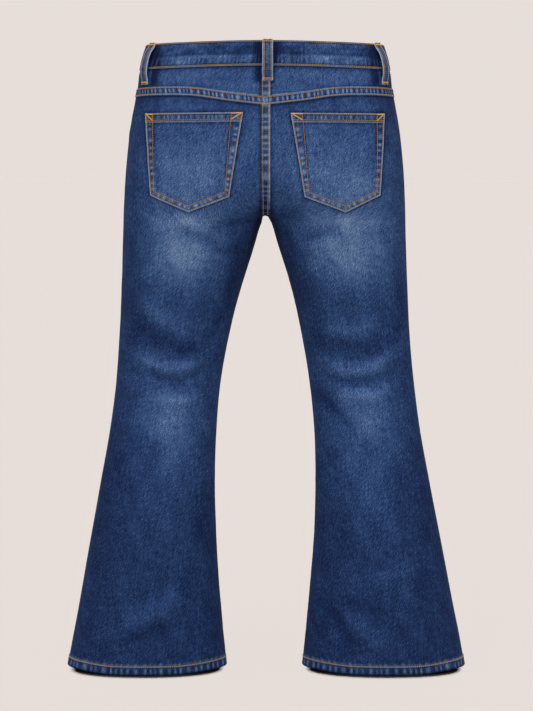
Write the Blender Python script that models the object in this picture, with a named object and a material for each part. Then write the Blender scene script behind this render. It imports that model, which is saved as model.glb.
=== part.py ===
"""Bootcut jeans, filled out as when worn, with nobody in them.

The origin is the middle of the waist, where a wearer holds the jeans up. The fly looks along -Y,
the back pockets along +Y, the wearer's left is +X and up is +Z. The hems reach the floor.

The cloth of one side is a smooth surface with two coordinates: the height of a row at the side
seam, and the share of the row's length, from 0 at the side seam to 1 at the centre seam or, below
the crotch, at the inseam. Every sewn piece is a wall through points of that surface. Heights in
the tables are metres above the hems.
"""

import math

import bmesh
import bpy
import numpy as np

# Overall sizes.
HELD_HEIGHT = 0.985  # from the hems up to the waist, where the origin is
WAIST_TOP_BACK = 1.006
WAIST_TOP_SIDE = 1.000
WAIST_TOP_FRONT = 0.972
BAND_DEPTH = 0.038
CROTCH_HEIGHT = 0.735
CROTCH_ROW = 0.715  # height at the side seam of the row that ends at the crotch point
FORK_DROP = {"back": 0.095, "front": 0.080}  # height of the curve that goes under the crotch

# Cloth, seams and stitching margins.
CLOTH = 0.0014
GAP = 0.0003  # between two pieces where they are sewn together
FELL_RISE = 0.0011  # how far a felled seam stands up from the cloth beside it
FELL_SLOPE = 0.0008
YOKE_FELL = 0.0125  # width of the felled seam under the yoke
SEAT_FELL = {"left": 0.0045, "right": 0.0075}  # the felled centre seam's width on each side
BAND_OUT = 0.0014  # waistband's outer face, from the cloth's outer face
BAND_IN = 0.0015
BAND_CROWN = 0.0003  # how much further out the waistband's middle is
FOLDED_EDGE = 0.0006  # how far the outer face falls back at a folded edge
EDGE_HEIGHT = 0.0010  # height over which it does
HEM_DEPTH = 0.0135
HEM_OUT = 0.0012
HEM_IN = 0.0020

# One row for each section of the left side. Side and inner are distances from the centre plane,
# back and front are depths, lobe is where the back is fullest, and square is the power of the
# outline's corner, 2 for an ellipse.
SECTIONS = {
    "height": (0.000, 0.080, 0.180, 0.300, 0.400, 0.480, 0.560, 0.640, 0.700, 0.760, 0.820, 0.880, 0.930, 0.965, 1.015),
    "side": (0.3222, 0.3070, 0.2888, 0.2662, 0.2485, 0.2382, 0.2312, 0.2286, 0.2264, 0.2240, 0.2198, 0.2128, 0.2028, 0.1950, 0.1848),
    "back": (0.0680, 0.0660, 0.0620, 0.0560, 0.0520, 0.0530, 0.0620, 0.0790, 0.0960, 0.1120, 0.1190, 0.1150, 0.1070, 0.1000, 0.0910),
    "front": (-0.0680, -0.0660, -0.0640, -0.0620, -0.0630, -0.0670, -0.0770, -0.0880, -0.0940, -0.0970, -0.0980, -0.0970, -0.0940, -0.0900, -0.0840),
    "lobe": (0.1920, 0.1880, 0.1830, 0.1740, 0.1640, 0.1540, 0.1430, 0.1300, 0.1180, 0.1020, 0.0880, 0.0720, 0.0560, 0.0440, 0.0300),
    "square": (2.30, 2.30, 2.25, 2.20, 2.20, 2.20, 2.25, 2.30, 2.40, 2.50, 2.70, 2.90, 3.10, 3.30, 3.40),
}
# Half the gap between the legs, from the hems up to the crotch.
INSIDE_LEG = {
    "height": (0.000, 0.070, 0.149, 0.227, 0.306, 0.384, 0.462, 0.540, 0.617, 0.694, 0.720, 0.735),
    "gap": (0.0622, 0.0677, 0.0746, 0.0787, 0.0808, 0.0790, 0.0724, 0.0586, 0.0401, 0.0168, 0.0085, 0.0020),
}
# The centre seam lies this far in from the fullest depth.
CENTRE_DIP = {
    "height": (0.760, 0.830, 0.900, 1.015),
    "dip": (0.0060, 0.0035, 0.0010, 0.0000),
}
# The seam between yoke and back panel: height over the distance from the centre back seam.
YOKE_SEAM = {
    "from_centre": (0.000, 0.056, 0.115, 0.165, 0.240),
    "height": (0.9222, 0.9285, 0.9362, 0.9370, 0.9345),
}
# The largest folds of the back. Place is the fold's middle, across the garment and up from the
# hems. Long and wide are half sizes, tilt is in degrees, a positive tilt rises away from the
# centre, bend is how far the ends rise above the middle, and rise is negative for a trough.
BACK_FOLDS = {
    "left": {
        "across": (0.110, 0.110, 0.163, 0.150, 0.137, 0.185),
        "height": (0.706, 0.680, 0.573, 0.538, 0.497, 0.118),
        "long": (0.046, 0.044, 0.048, 0.060, 0.056, 0.060),
        "wide": (0.015, 0.017, 0.018, 0.019, 0.018, 0.022),
        "tilt": (20, 12, 42, 24, 4, -38),
        "bend": (0.000, 0.000, 0.000, 0.004, 0.009, 0.000),
        "rise": (-0.0030, 0.0030, 0.0040, -0.0048, 0.0040, 0.0030),
    },
    "right": {
        "across": (0.108, 0.110, 0.134, 0.143, 0.148, 0.122),
        "height": (0.714, 0.688, 0.551, 0.526, 0.496, 0.110),
        "long": (0.046, 0.044, 0.056, 0.058, 0.060, 0.060),
        "wide": (0.015, 0.017, 0.017, 0.018, 0.018, 0.018),
        "tilt": (18, 10, 6, -8, 6, -58),
        "bend": (0.000, 0.000, 0.012, 0.008, 0.012, 0.000),
        "rise": (-0.0032, 0.0030, 0.0040, -0.0046, 0.0040, -0.0038),
    },
}
# The same for the front: creases from the fork to the hip, and soft ones over the knee.
FRONT_FOLDS = {
    "left": {
        "across": (0.108, 0.112, 0.150, 0.140, 0.160),
        "height": (0.750, 0.716, 0.520, 0.480, 0.130),
        "long": (0.046, 0.046, 0.050, 0.046, 0.055),
        "wide": (0.017, 0.017, 0.018, 0.018, 0.022),
        "tilt": (20, 14, -10, 8, 40),
        "bend": (0.000, 0.000, -0.006, -0.005, 0.000),
        "rise": (-0.0032, 0.0032, -0.0036, 0.0032, 0.0028),
    },
    "right": {
        "across": (0.106, 0.114, 0.146, 0.152, 0.170),
        "height": (0.756, 0.722, 0.508, 0.466, 0.150),
        "long": (0.046, 0.046, 0.052, 0.046, 0.060),
        "wide": (0.017, 0.017, 0.018, 0.018, 0.022),
        "tilt": (24, 16, 8, -6, -36),
        "bend": (0.000, 0.000, -0.006, -0.004, 0.000),
        "rise": (-0.0032, 0.0032, -0.0036, 0.0030, -0.0028),
    },
}

# Back pockets: corners as (distance from the centre, height). The right one is a little narrower.
POCKET = {
    "left": {
        "inner_top": (0.0340, 0.8950),
        "inner_low": (0.0558, 0.7665),
        "point": (0.1189, 0.7425),
        "outer_low": (0.1779, 0.7680),
        "outer_top": (0.1861, 0.8930),
    },
    "right": {
        "inner_top": (0.0400, 0.8950),
        "inner_low": (0.0620, 0.7665),
        "point": (0.1259, 0.7425),
        "outer_low": (0.1793, 0.7680),
        "outer_top": (0.1858, 0.8940),
    },
}
POCKET_HEM = 0.0140
POCKET_HEM_RISE = 0.0007
POCKET_HEM_SLOPE = 0.0010

# Front scoop pocket, fly and button.
SCOOP_FROM_CENTRE = 0.122  # where the scoop leaves the waistband
SCOOP_DEPTH = 0.085  # from the waistband down the side seam
FACING_TUCK = 0.012  # how far the facing runs on behind the front
FACING_GAP = 0.0010
FLY_LAP = 0.004  # the fly's edge, past the centre towards the wearer's right
FLY_WIDTH = 0.036
FLY_LENGTH = 0.135
FLY_CURVE = 0.050  # height of the curve at its foot
# The button's outline, in millimetres: height off the waistband, and radius.
BUTTON = {
    "height": (0.0, 1.2, 1.4, 2.1, 3.0, 3.3, 2.8, 3.4),
    "radius": (4.5, 4.5, 7.9, 8.5, 8.0, 6.3, 5.3, 3.1),
}
BUTTON_SIDES = 24
BAND_LAP = 0.016  # the waistband's upper end, past the centre
BAND_UNDERLAP = 0.036

# Belt loops.
LOOP_WIDTH = 0.0165
LOOP_CLOTH = 0.0016
LOOP_STAND_OFF = {"back": 0.0064, "side": 0.0045, "front": 0.0066}  # free space for a belt
LOOP_TOP_LAP = 0.0012  # above the waistband's top edge
LOOP_BELOW = 0.0200  # below the waistband's seam
LOOP_TACK = 0.0065  # length sewn down at each end
LOOP_FOOT = 0.0070  # height over which it rises from the lower tack
LOOP_SEAM = 0.0020  # height above the waistband's seam where it stands off fully
LOOP_HIGH = 0.0060  # height of its fullest point above its middle
LOOP_SLACK = 0.0004  # how much further out that point is
LOOP_SHOULDER = 0.0090  # height below the top tack where it starts to turn in
LOOP_NECK = 0.0030  # height below the top tack where it has turned in to a share of the free space
LOOP_NECK_SHARE = 0.45
BACK_LOOP_SHIFT = 0.003  # the middle loop sits this far to the wearer's right
SIDE_LOOP_FROM_CENTRE = 0.187
FRONT_LOOP_FROM_CENTRE = 0.100

# Heights of the rows whose lengths turn a distance from the centre into a share.
BACK_ROW = 0.92
FRONT_ROW = 0.93
BAND_ROW = 0.95
LOOP_ROW = 0.98

# How the outline changes from the leg to the seat.
INSEAM_CENTRED = 0.80  # height where the inseam's depth becomes the centre plane's
INSEAM_TURN = 0.20  # height over which it gets there
SEAT_START = CROTCH_HEIGHT + 0.12
SEAT_TURN = 0.14
FLAT_POWER = 2.0  # how flat the row runs to the centre seam across the seat
ROUND_POWER = 0.95  # and round the leg, 1 for an ellipse
DROP_FROM_SHARE = 0.3  # where a row starts to slope to its own end
FOLDS_FROM_SIDE = 0.10  # share over which folds grow from the side seam
FOLDS_FROM_CENTRE = 0.06

# Grid densities.
ROWS_BACK = 40
COLUMNS_BACK = 14
ROWS_FRONT = 35
COLUMNS_SCOOP = 8
COLUMNS_FRONT = 6
BAND_STATIONS = 15  # on each quarter of the waist
HEM_STATIONS = 12  # on each quarter of a leg
FINE_HEIGHTS = 520
FINE_SHARES = 201
ARC_SAMPLES = 90
TOP_OF_TABLE = 1.015

DENIM = ((0.030, 0.060, 0.150, 1.0), 0.85, 0.0)
DENIM_LIGHT = ((0.045, 0.085, 0.200, 1.0), 0.85, 0.0)
COPPER = ((0.55, 0.30, 0.16, 1.0), 0.35, 1.0)


def smooth_value(table, column, at, key="height"):
    """A column's value at any key, on a smooth curve through the table's rows."""
    knots, values = np.array(table[key], float), np.array(table[column], float)
    at = np.clip(np.asarray(at, float), knots[0], knots[-1])
    slopes = np.gradient(values, knots)
    i = np.clip(np.searchsorted(knots, at) - 1, 0, len(knots) - 2)
    step = knots[i + 1] - knots[i]
    t = (at - knots[i]) / step
    rise = values[i] * (1 + 2 * t) * (1 - t) ** 2 + values[i + 1] * t * t * (3 - 2 * t)
    lean = slopes[i] * t * (1 - t) ** 2 - slopes[i + 1] * t * t * (1 - t)
    return rise + lean * step


def ease(t):
    t = np.clip(t, 0.0, 1.0)
    return t * t * (3 - 2 * t)


def inseam_depth(height):
    middle = (smooth_value(SECTIONS, "back", height) + smooth_value(SECTIONS, "front", height)) / 2
    return middle * ease((INSEAM_CENTRED - height) / INSEAM_TURN)


def row_ends(face, height):
    """Where each row ends: on the centre seam above the crotch, on the inseam below it."""
    depth = smooth_value(SECTIONS, face, height)
    side = 1 if face == "back" else -1
    top = CROTCH_HEIGHT + FORK_DROP[face]
    centre = depth - side * smooth_value(CENTRE_DIP, "dip", height)
    start = smooth_value(SECTIONS, face, top) - side * smooth_value(CENTRE_DIP, "dip", top)
    turn = np.clip((top - height) / (top - CROTCH_ROW), 0, 1) * math.pi / 2
    middle = inseam_depth(height)
    end_y = np.where(height > top, centre, middle + (start - middle) * np.cos(turn))
    end_z = np.where(height > top, height, CROTCH_HEIGHT + FORK_DROP[face] * (1 - np.sin(turn)))
    on_leg = height < CROTCH_ROW
    end_z = np.where(on_leg, height * CROTCH_HEIGHT / CROTCH_ROW, end_z)
    end_x = np.where(on_leg, smooth_value(INSIDE_LEG, "gap", end_z), 0.0)
    return np.maximum(end_x, GAP / 2), end_y, end_z


def blurred(grid, reach):
    """A grid's running average over its neighbours along both axes."""
    for axis in (0, 1):
        last = grid.shape[axis] - 1
        near = [np.clip(np.arange(last + 1) + step, 0, last) for step in range(-reach, reach + 1)]
        grid = sum(np.take(grid, index, axis=axis) for index in near) / len(near)
    return grid


def fine_surface(face):
    """Points of the left side's smooth surface on a fine grid of heights and shares."""
    height = np.linspace(0, TOP_OF_TABLE, FINE_HEIGHTS)
    side = smooth_value(SECTIONS, "side", height)[:, None]
    depth = smooth_value(SECTIONS, face, height)[:, None]
    lobe = smooth_value(SECTIONS, "lobe", height)[:, None]
    power = 2 / smooth_value(SECTIONS, "square", height)[:, None]
    middle = inseam_depth(height)[:, None]
    end_x, end_y, end_z = (values[:, None] for values in row_ends(face, height))
    angle = ease(np.linspace(0, 1, ARC_SAMPLES))[None, :] * math.pi / 2
    cosine, sine = np.clip(np.cos(angle), 0, 1), np.sin(angle)
    outer_x = lobe + (side - lobe) * cosine**power
    outer_y = middle + (depth - middle) * sine**power
    # Across the seat the row stays flat to the centre seam. On the leg it turns like an ellipse.
    on_leg = ease((SEAT_START - height) / SEAT_TURN)[:, None]
    inner_x = lobe + (end_x - lobe) * sine
    inner_power = FLAT_POWER + (ROUND_POWER - FLAT_POWER) * on_leg
    inner_y = end_y + (depth - end_y) * cosine**inner_power
    x = np.concatenate([outer_x, inner_x[:, 1:]], axis=1)
    y = np.concatenate([outer_y, inner_y[:, 1:]], axis=1)
    walk = np.concatenate([np.zeros((len(height), 1)), np.hypot(np.diff(x), np.diff(y)).cumsum(axis=1)], axis=1)
    share = walk / walk[:, -1:]
    z = height[:, None] + (end_z - height[:, None]) * ease((share - DROP_FROM_SHARE) / (1 - DROP_FROM_SHARE))
    wanted = np.linspace(0, 1, FINE_SHARES)
    points = np.empty((FINE_HEIGHTS, FINE_SHARES, 3))
    for i, row in enumerate(share):
        for axis, values in enumerate((x, y, z)):
            points[i, :, axis] = np.interp(wanted, row, values[i])
    across, upward = np.gradient(points, axis=1), np.gradient(points, axis=0)
    # Rows run along each other at the fork, so directions there come from the cloth around it.
    normals = blurred(np.cross(across, upward), 5) * (1 if face == "back" else -1)
    normals /= np.linalg.norm(normals, axis=2, keepdims=True)
    return {"points": points, "normals": normals, "lengths": walk[:, -1]}


SURFACE = {face: fine_surface(face) for face in ("back", "front")}


def between(grid, height, share):
    """A fine grid's value at any height and share, from the four grid points around it."""
    row = np.clip(height / TOP_OF_TABLE, 0, 1) * (FINE_HEIGHTS - 1)
    column = np.clip(share, 0, 1) * (FINE_SHARES - 1)
    i = np.minimum(row.astype(int), FINE_HEIGHTS - 2)
    j = np.minimum(column.astype(int), FINE_SHARES - 2)
    a, b = (row - i)[..., None], (column - j)[..., None]
    low = grid[i, j] * (1 - b) + grid[i, j + 1] * b
    high = grid[i + 1, j] * (1 - b) + grid[i + 1, j + 1] * b
    return low * (1 - a) + high * a


def row_length(face, height):
    level = np.linspace(0, TOP_OF_TABLE, FINE_HEIGHTS)
    return np.interp(height, level, SURFACE[face]["lengths"])


def fold_rise(folds, across, height):
    """How far the folds of one side lift the cloth, at points given across and up."""
    rise = np.zeros_like(across)
    for n, tilt in enumerate(folds["tilt"]):
        right, up = across - folds["across"][n], height - folds["height"][n]
        turn = math.radians(tilt)
        along = right * math.cos(turn) + up * math.sin(turn)
        off = up * math.cos(turn) - right * math.sin(turn)
        off = off - folds["bend"][n] * (along / folds["long"][n]) ** 2
        fade = np.exp(-((along / folds["long"][n]) ** 4))
        rise += folds["rise"][n] * fade * np.exp(-((off / folds["wide"][n]) ** 2))
    return rise


def cloth_at(side, face, height, share):
    """Points on the cloth's outer face, folds included, and the outward directions there."""
    height, share = np.broadcast_arrays(np.asarray(height, float), np.asarray(share, float))
    points = between(SURFACE[face]["points"], height, share)
    normals = between(SURFACE[face]["normals"], height, share)
    normals = normals / np.linalg.norm(normals, axis=-1, keepdims=True)
    folds = (BACK_FOLDS if face == "back" else FRONT_FOLDS)[side]
    at_seam = ease(share / FOLDS_FROM_SIDE) * ease((1 - share) / FOLDS_FROM_CENTRE)
    rise = fold_rise(folds, points[..., 0], points[..., 2]) * at_seam
    points = points + normals * rise[..., None]
    if side == "right":
        flip = np.array([-1.0, 1.0, 1.0])
        points, normals = points * flip, normals * flip
    return points, normals


def lowered(points):
    """From heights above the hems to the frame, whose origin is at the waist."""
    return points - np.array([0.0, 0.0, HELD_HEIGHT])


def material(name, look):
    colour, roughness, metallic = look
    made = bpy.data.materials.get(name) or bpy.data.materials.new(name)
    made.use_nodes = True
    shader = made.node_tree.nodes["Principled BSDF"]
    shader.inputs["Base Color"].default_value = colour
    shader.inputs["Roughness"].default_value = roughness
    shader.inputs["Metallic"].default_value = metallic
    return made


def add_object(name, points, faces, look):
    """One closed solid from points above the hems and faces, with its normals made to face out."""
    mesh = bpy.data.meshes.new(name)
    mesh.from_pydata(lowered(points).tolist(), [], faces)
    shape = bmesh.new()
    shape.from_mesh(mesh)
    bmesh.ops.recalc_face_normals(shape, faces=shape.faces)
    shape.to_mesh(mesh)
    shape.free()
    mesh.materials.append(material(*look))
    mesh.shade_smooth()
    mesh.set_sharp_from_angle(angle=math.radians(40))
    made = bpy.data.objects.new(name, mesh)
    bpy.context.scene.collection.objects.link(made)
    return made


def grid_triangles(grid):
    """Two triangles for each cell of a grid of points, split along the cell's shorter diagonal."""
    rows, columns = grid.shape[:2]
    index = np.arange(rows * columns).reshape(rows, columns)
    a, b, c, d = (part.ravel() for part in (index[:-1, :-1], index[:-1, 1:], index[1:, 1:], index[1:, :-1]))
    flat = grid.reshape(-1, 3)
    falling = np.linalg.norm(flat[a] - flat[c], axis=1) <= np.linalg.norm(flat[b] - flat[d], axis=1)
    first = np.where(falling[:, None], np.stack([a, b, c], 1), np.stack([a, b, d], 1))
    second = np.where(falling[:, None], np.stack([a, c, d], 1), np.stack([b, c, d], 1))
    return np.concatenate([first, second])


def wall(name, outer, inner, look):
    """A closed wall between two grids of points, the outer face and the inner one."""
    rows, columns = outer.shape[:2]
    count = rows * columns
    index = np.arange(count).reshape(rows, columns)
    sheet = grid_triangles(outer)
    faces = sheet.tolist() + (sheet[:, ::-1] + count).tolist()
    rim = [*index[0, :], *index[1:, -1], *index[-1, -2::-1], *index[-2:0:-1, 0]]
    for a, b in zip(rim, rim[1:] + rim[:1], strict=True):
        faces.append([int(b), int(a), int(a) + count, int(b) + count])
    points = np.concatenate([outer.reshape(-1, 3), inner.reshape(-1, 3)])
    return add_object(name, points, faces, look)


def laid_on(name, grid, outline, turned, look):
    """A patch lying on a panel: the panel's own triangles inside an outline, moved out from it.

    The outline is a convex polygon seen from the front, as (across, height) corners in order.
    Turned is None, or the line through two such corners above which the patch is thicker.
    """
    shape = bmesh.new()
    corners = [shape.verts.new(point) for point in grid.reshape(-1, 3)]
    for triangle in grid_triangles(grid):
        shape.faces.new([corners[v] for v in triangle])
    middle = np.mean(outline, axis=0)

    def cut(start, end, clear):
        start, end = np.array(start), np.array(end)
        out = np.array([end[1] - start[1], start[0] - end[0]])
        out *= np.sign(out @ (start - middle))
        bmesh.ops.bisect_plane(
            shape,
            geom=[*shape.verts, *shape.edges, *shape.faces],
            dist=1e-7,
            plane_co=(start[0], 0, start[1]),
            plane_no=(out[0], 0, out[1]),
            clear_outer=clear,
        )
        return start, out / np.linalg.norm(out)

    for start, end in zip(outline, [*outline[1:], outline[0]], strict=True):
        cut(start, end, True)
    edge = None
    if turned is not None:
        low = [(x, z - POCKET_HEM_SLOPE) for x, z in turned]
        edge = cut(*turned, False)
        cut(*low, False)
    shape.normal_update()
    shape.verts.index_update()
    points = np.array([v.co for v in shape.verts])
    normals = np.array([v.normal for v in shape.verts])
    ahead = np.sign(points[:, 1].mean())
    normals *= np.sign(normals[:, 1].mean()) * ahead
    rise = np.full(len(points), GAP + CLOTH)
    if edge is not None:
        above = (points[:, [0, 2]] - edge[0]) @ edge[1] > -1e-5
        rise[above] += POCKET_HEM_RISE
    count = len(points)
    faces = [[v.index for v in face.verts] for face in shape.faces]
    faces += [[v + count for v in reversed(face)] for face in faces]
    for side in shape.edges:
        if side.is_boundary:
            a, b = (v.index for v in side.verts)
            faces.append([a, b, b + count, a + count])
    shape.free()
    both = np.concatenate([points + normals * rise[:, None], points + normals * GAP])
    return add_object(name, both, faces, look)


def swept(name, sections, look, closed=False):
    """A solid through closed sections of equal point counts, capped unless it is a ring."""
    stations, corners = sections.shape[:2]
    index = np.arange(stations * corners).reshape(stations, corners)
    faces = []
    for i in range(stations if closed else stations - 1):
        after = (i + 1) % stations
        for j in range(corners):
            k = (j + 1) % corners
            faces.append([int(index[i, j]), int(index[i, k]), int(index[after, k]), int(index[after, j])])
    if not closed:
        faces.append([int(v) for v in index[0]])
        faces.append([int(v) for v in index[-1, ::-1]])
    return add_object(name, sections.reshape(-1, 3), faces, look)


def row_steps(rows, crowd_from, crowd_to):
    """Shares down a panel, from 0 at its top to 1, twice as close together round the fork."""
    down = np.linspace(0, 1, 400)
    density = 1 + ease((down - crowd_from) / 0.04) * ease((crowd_to - down) / 0.04)
    count = np.concatenate([[0], (density[1:] + density[:-1]).cumsum()])
    return np.interp(np.linspace(0, count[-1], rows), count, down)


def waist_top(face, share):
    end = WAIST_TOP_BACK if face == "back" else WAIST_TOP_FRONT
    return WAIST_TOP_SIDE + (end - WAIST_TOP_SIDE) * ease(share)


def waist_seam(face, share):
    return waist_top(face, share) - BAND_DEPTH


def yoke_seam(from_centre):
    return smooth_value(YOKE_SEAM, "height", from_centre, key="from_centre")


def centre_columns(length, columns, fell):
    """Shares from the side seam to the centre, with two columns where a felled seam steps down."""
    start = GAP / 2 / length
    step_low, step_high = 1 - (fell + FELL_SLOPE) / length, 1 - fell / length
    plain = np.linspace(start, step_low, columns - 1)
    return np.concatenate([plain, [step_high, (step_high + 1) / 2, 1 - start]])


def kept_off_centre(points, side):
    """Keeps a panel's points on its own side of the centre plane."""
    sign = 1 if side == "left" else -1
    kept = points.copy()
    kept[..., 0] = sign * np.maximum(sign * points[..., 0], GAP / 2)
    return kept


def back_shares(side):
    return centre_columns(row_length("back", BACK_ROW), COLUMNS_BACK, SEAT_FELL[side])


def back_grid(side):
    """Points and normals of half of the back, with the felled seams raised."""
    shares = back_shares(side)
    top = yoke_seam((1 - shares) * row_length("back", BACK_ROW))
    bottom = HEM_DEPTH + GAP
    below = top - YOKE_FELL - FELL_SLOPE
    down = row_steps(ROWS_BACK, 0.07, 0.26)
    height = np.array([top, top - YOKE_FELL] + [below + (bottom - below) * t for t in down])
    points, normals = cloth_at(side, "back", height, np.broadcast_to(shares, height.shape))
    fell = np.zeros(height.shape)
    fell[:2] = FELL_RISE
    on_seat = height[:, -1] > CROTCH_ROW + 0.012
    fell[np.ix_(on_seat, np.arange(len(shares) - 3, len(shares)))] = FELL_RISE
    return points, normals, fell


def back_panel(side):
    """Half of the back, from the yoke to the hem."""
    points, normals, fell = back_grid(side)
    outer = kept_off_centre(points + normals * fell[..., None], side)
    inner = kept_off_centre(points - normals * CLOTH, side)
    return wall(f"back_leg_{side}", outer, inner, ("denim", DENIM))


def yoke(side):
    """The shaped piece between waistband and back panel."""
    shares = back_shares(side)
    top = waist_seam("back", shares) - GAP
    bottom = yoke_seam((1 - shares) * row_length("back", BACK_ROW)) + GAP
    height = np.array([top + (bottom - top) * t for t in np.linspace(0, 1, 4)])
    points, normals = cloth_at(side, "back", height, np.broadcast_to(shares, height.shape))
    fell = np.zeros(height.shape)
    fell[:, -3:] = FELL_RISE
    outer = kept_off_centre(points + normals * fell[..., None], side)
    inner = kept_off_centre(points - normals * CLOTH, side)
    return wall(f"back_yoke_{side}", outer, inner, ("denim", DENIM))


def scoop_drop(from_centre, side_length):
    """How far the front's top edge lies under the waistband: the scoop of the front pocket."""
    reach = side_length - SCOOP_FROM_CENTRE
    t = np.clip((from_centre - SCOOP_FROM_CENTRE) / reach, 0, 1)
    return SCOOP_DEPTH * np.sqrt(1 - (1 - t) ** 2)


def front_grid(side):
    """Points and normals of half of the front, from waistband and pocket scoop to the hem."""
    length = row_length("front", FRONT_ROW)
    edge, start = 1 - SCOOP_FROM_CENTRE / length, GAP / 2 / length
    # Columns crowd together where the scoop drops steeply from the waistband.
    scoop = edge - (edge - start) * np.linspace(1, 0, COLUMNS_SCOOP + 1)[:-1] ** 1.35
    shares = np.concatenate([scoop, np.linspace(edge, 1 - start, COLUMNS_FRONT)])
    top = waist_seam("front", shares) - GAP - scoop_drop((1 - shares) * length, length)
    bottom = HEM_DEPTH + GAP
    down = row_steps(ROWS_FRONT, 0.10, 0.27)
    height = np.array([top + (bottom - top) * t for t in down])
    return cloth_at(side, "front", height, np.broadcast_to(shares, height.shape))


def front_panel(side):
    points, normals = front_grid(side)
    inner = kept_off_centre(points - normals * CLOTH, side)
    return wall(f"front_leg_{side}", points, inner, ("denim", DENIM))


def pocket_facing(side):
    """The hip piece that shows inside the front pocket's scoop and runs on behind the front."""
    length = row_length("front", FRONT_ROW)
    edge = 1 - (SCOOP_FROM_CENTRE - FACING_TUCK) / length
    shares = np.linspace(GAP / 2 / length, edge, 10)
    top = waist_seam("front", shares) - GAP
    bottom = top - scoop_drop((1 - shares) * length, length) - FACING_TUCK
    height = np.array([top + (bottom - top) * t for t in np.linspace(0, 1, 6)])
    points, normals = cloth_at(side, "front", height, np.broadcast_to(shares, height.shape))
    depth = CLOTH + FACING_GAP
    outer, inner = points - normals * depth, points - normals * (depth + CLOTH)
    return wall(f"front_pocket_facing_{side}", outer, inner, ("denim", DENIM))


def hem(side):
    """The turned-up hem, a ring of three layers round the foot of one leg."""
    shares = np.linspace(0, 1, HEM_STATIONS + 1)
    stations = [("back", t) for t in shares[:-1]] + [("front", t) for t in shares[:0:-1]]
    profile = (
        (0.0, -HEM_IN + FOLDED_EDGE),
        (0.0, HEM_OUT - FOLDED_EDGE),
        (EDGE_HEIGHT, HEM_OUT),
        (HEM_DEPTH - EDGE_HEIGHT, HEM_OUT),
        (HEM_DEPTH, HEM_OUT - FOLDED_EDGE),
        (HEM_DEPTH, -HEM_IN),
    )
    sections = []
    for face, share in stations:
        ring = []
        for height, offset in profile:
            point, normal = cloth_at(side, face, height, share)
            level = np.array([normal[0], normal[1], 0.0])
            ring.append(point + level / np.linalg.norm(level) * offset)
        sections.append(ring)
    sections = np.array(sections)
    # The row's height rises a little from the side seam to the inseam, so it is set again here.
    sections[..., 2] = np.array([height for height, _ in profile])[None, :]
    return swept(f"hem_{side}", sections, ("denim", DENIM), closed=True)


def back_pocket(side):
    """A patch pocket, laid on the back panel and thicker along its turned top."""
    sign = 1 if side == "left" else -1
    names = ("inner_top", "inner_low", "point", "outer_low", "outer_top")
    corners = [POCKET[side][name] for name in names]
    outline = [(sign * across, height) for across, height in corners]
    turned = [(x, z - POCKET_HEM) for x, z in (outline[0], outline[4])]
    points, normals, fell = back_grid(side)
    grid = points + normals * fell[..., None]
    return laid_on(f"back_pocket_{side}", grid, outline, turned, ("denim_light", DENIM_LIGHT))


def band_stations():
    """Points round the waistband, from its hidden lower end to its upper end at the button."""
    length = row_length("front", BAND_ROW)
    quarter = np.linspace(0, 1, BAND_STATIONS + 1)
    under = 1 - np.linspace(BAND_UNDERLAP, 0.0, 5) / length
    ramp = 1 - np.array([0.010, 0.019, 0.028, 0.040]) / length
    rest = np.linspace(1 - 0.056 / length, 0, BAND_STATIONS - 1)
    path = [("left", "front", t) for t in under[:-1]]
    path += [("right", "front", 1.0)]
    path += [("right", "front", t) for t in ramp]
    path += [("right", "front", t) for t in rest]
    path += [("right", "back", t) for t in quarter[1:]]
    path += [("left", "back", t) for t in quarter[-2::-1]]
    path += [("left", "front", t) for t in quarter[1:]]
    path += [("right", "front", 1 - t / length) for t in (BAND_LAP / 2, BAND_LAP)]
    return path, len(under) + len(ramp)


def waistband():
    """One long strip, lapped left over right at the button."""
    path, lapped = band_stations()
    tuck = BAND_OUT + BAND_IN + 2 * GAP
    sections = []
    for n, (side, face, share) in enumerate(path):
        top = waist_top(face, share)
        seam = waist_seam(face, share)
        profile = (
            (seam, -BAND_IN),
            (seam, BAND_OUT - FOLDED_EDGE),
            (seam + EDGE_HEIGHT, BAND_OUT),
            ((seam + top) / 2, BAND_OUT + BAND_CROWN),
            (top - EDGE_HEIGHT, BAND_OUT),
            (top, BAND_OUT - FOLDED_EDGE),
            (top, -BAND_IN + FOLDED_EDGE),
            (top - EDGE_HEIGHT, -BAND_IN),
        )
        # The lower end runs under the upper one, so it steps in before the lap.
        step_in = tuck * (1 - ease((n - (lapped - 3)) / 3)) if n < lapped else 0.0
        ring = []
        for height, offset in profile:
            point, normal = cloth_at(side, face, height, share)
            ring.append(point + normal * (offset - step_in))
        sections.append(ring)
    return swept("waistband", np.array(sections), ("denim", DENIM))


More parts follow.
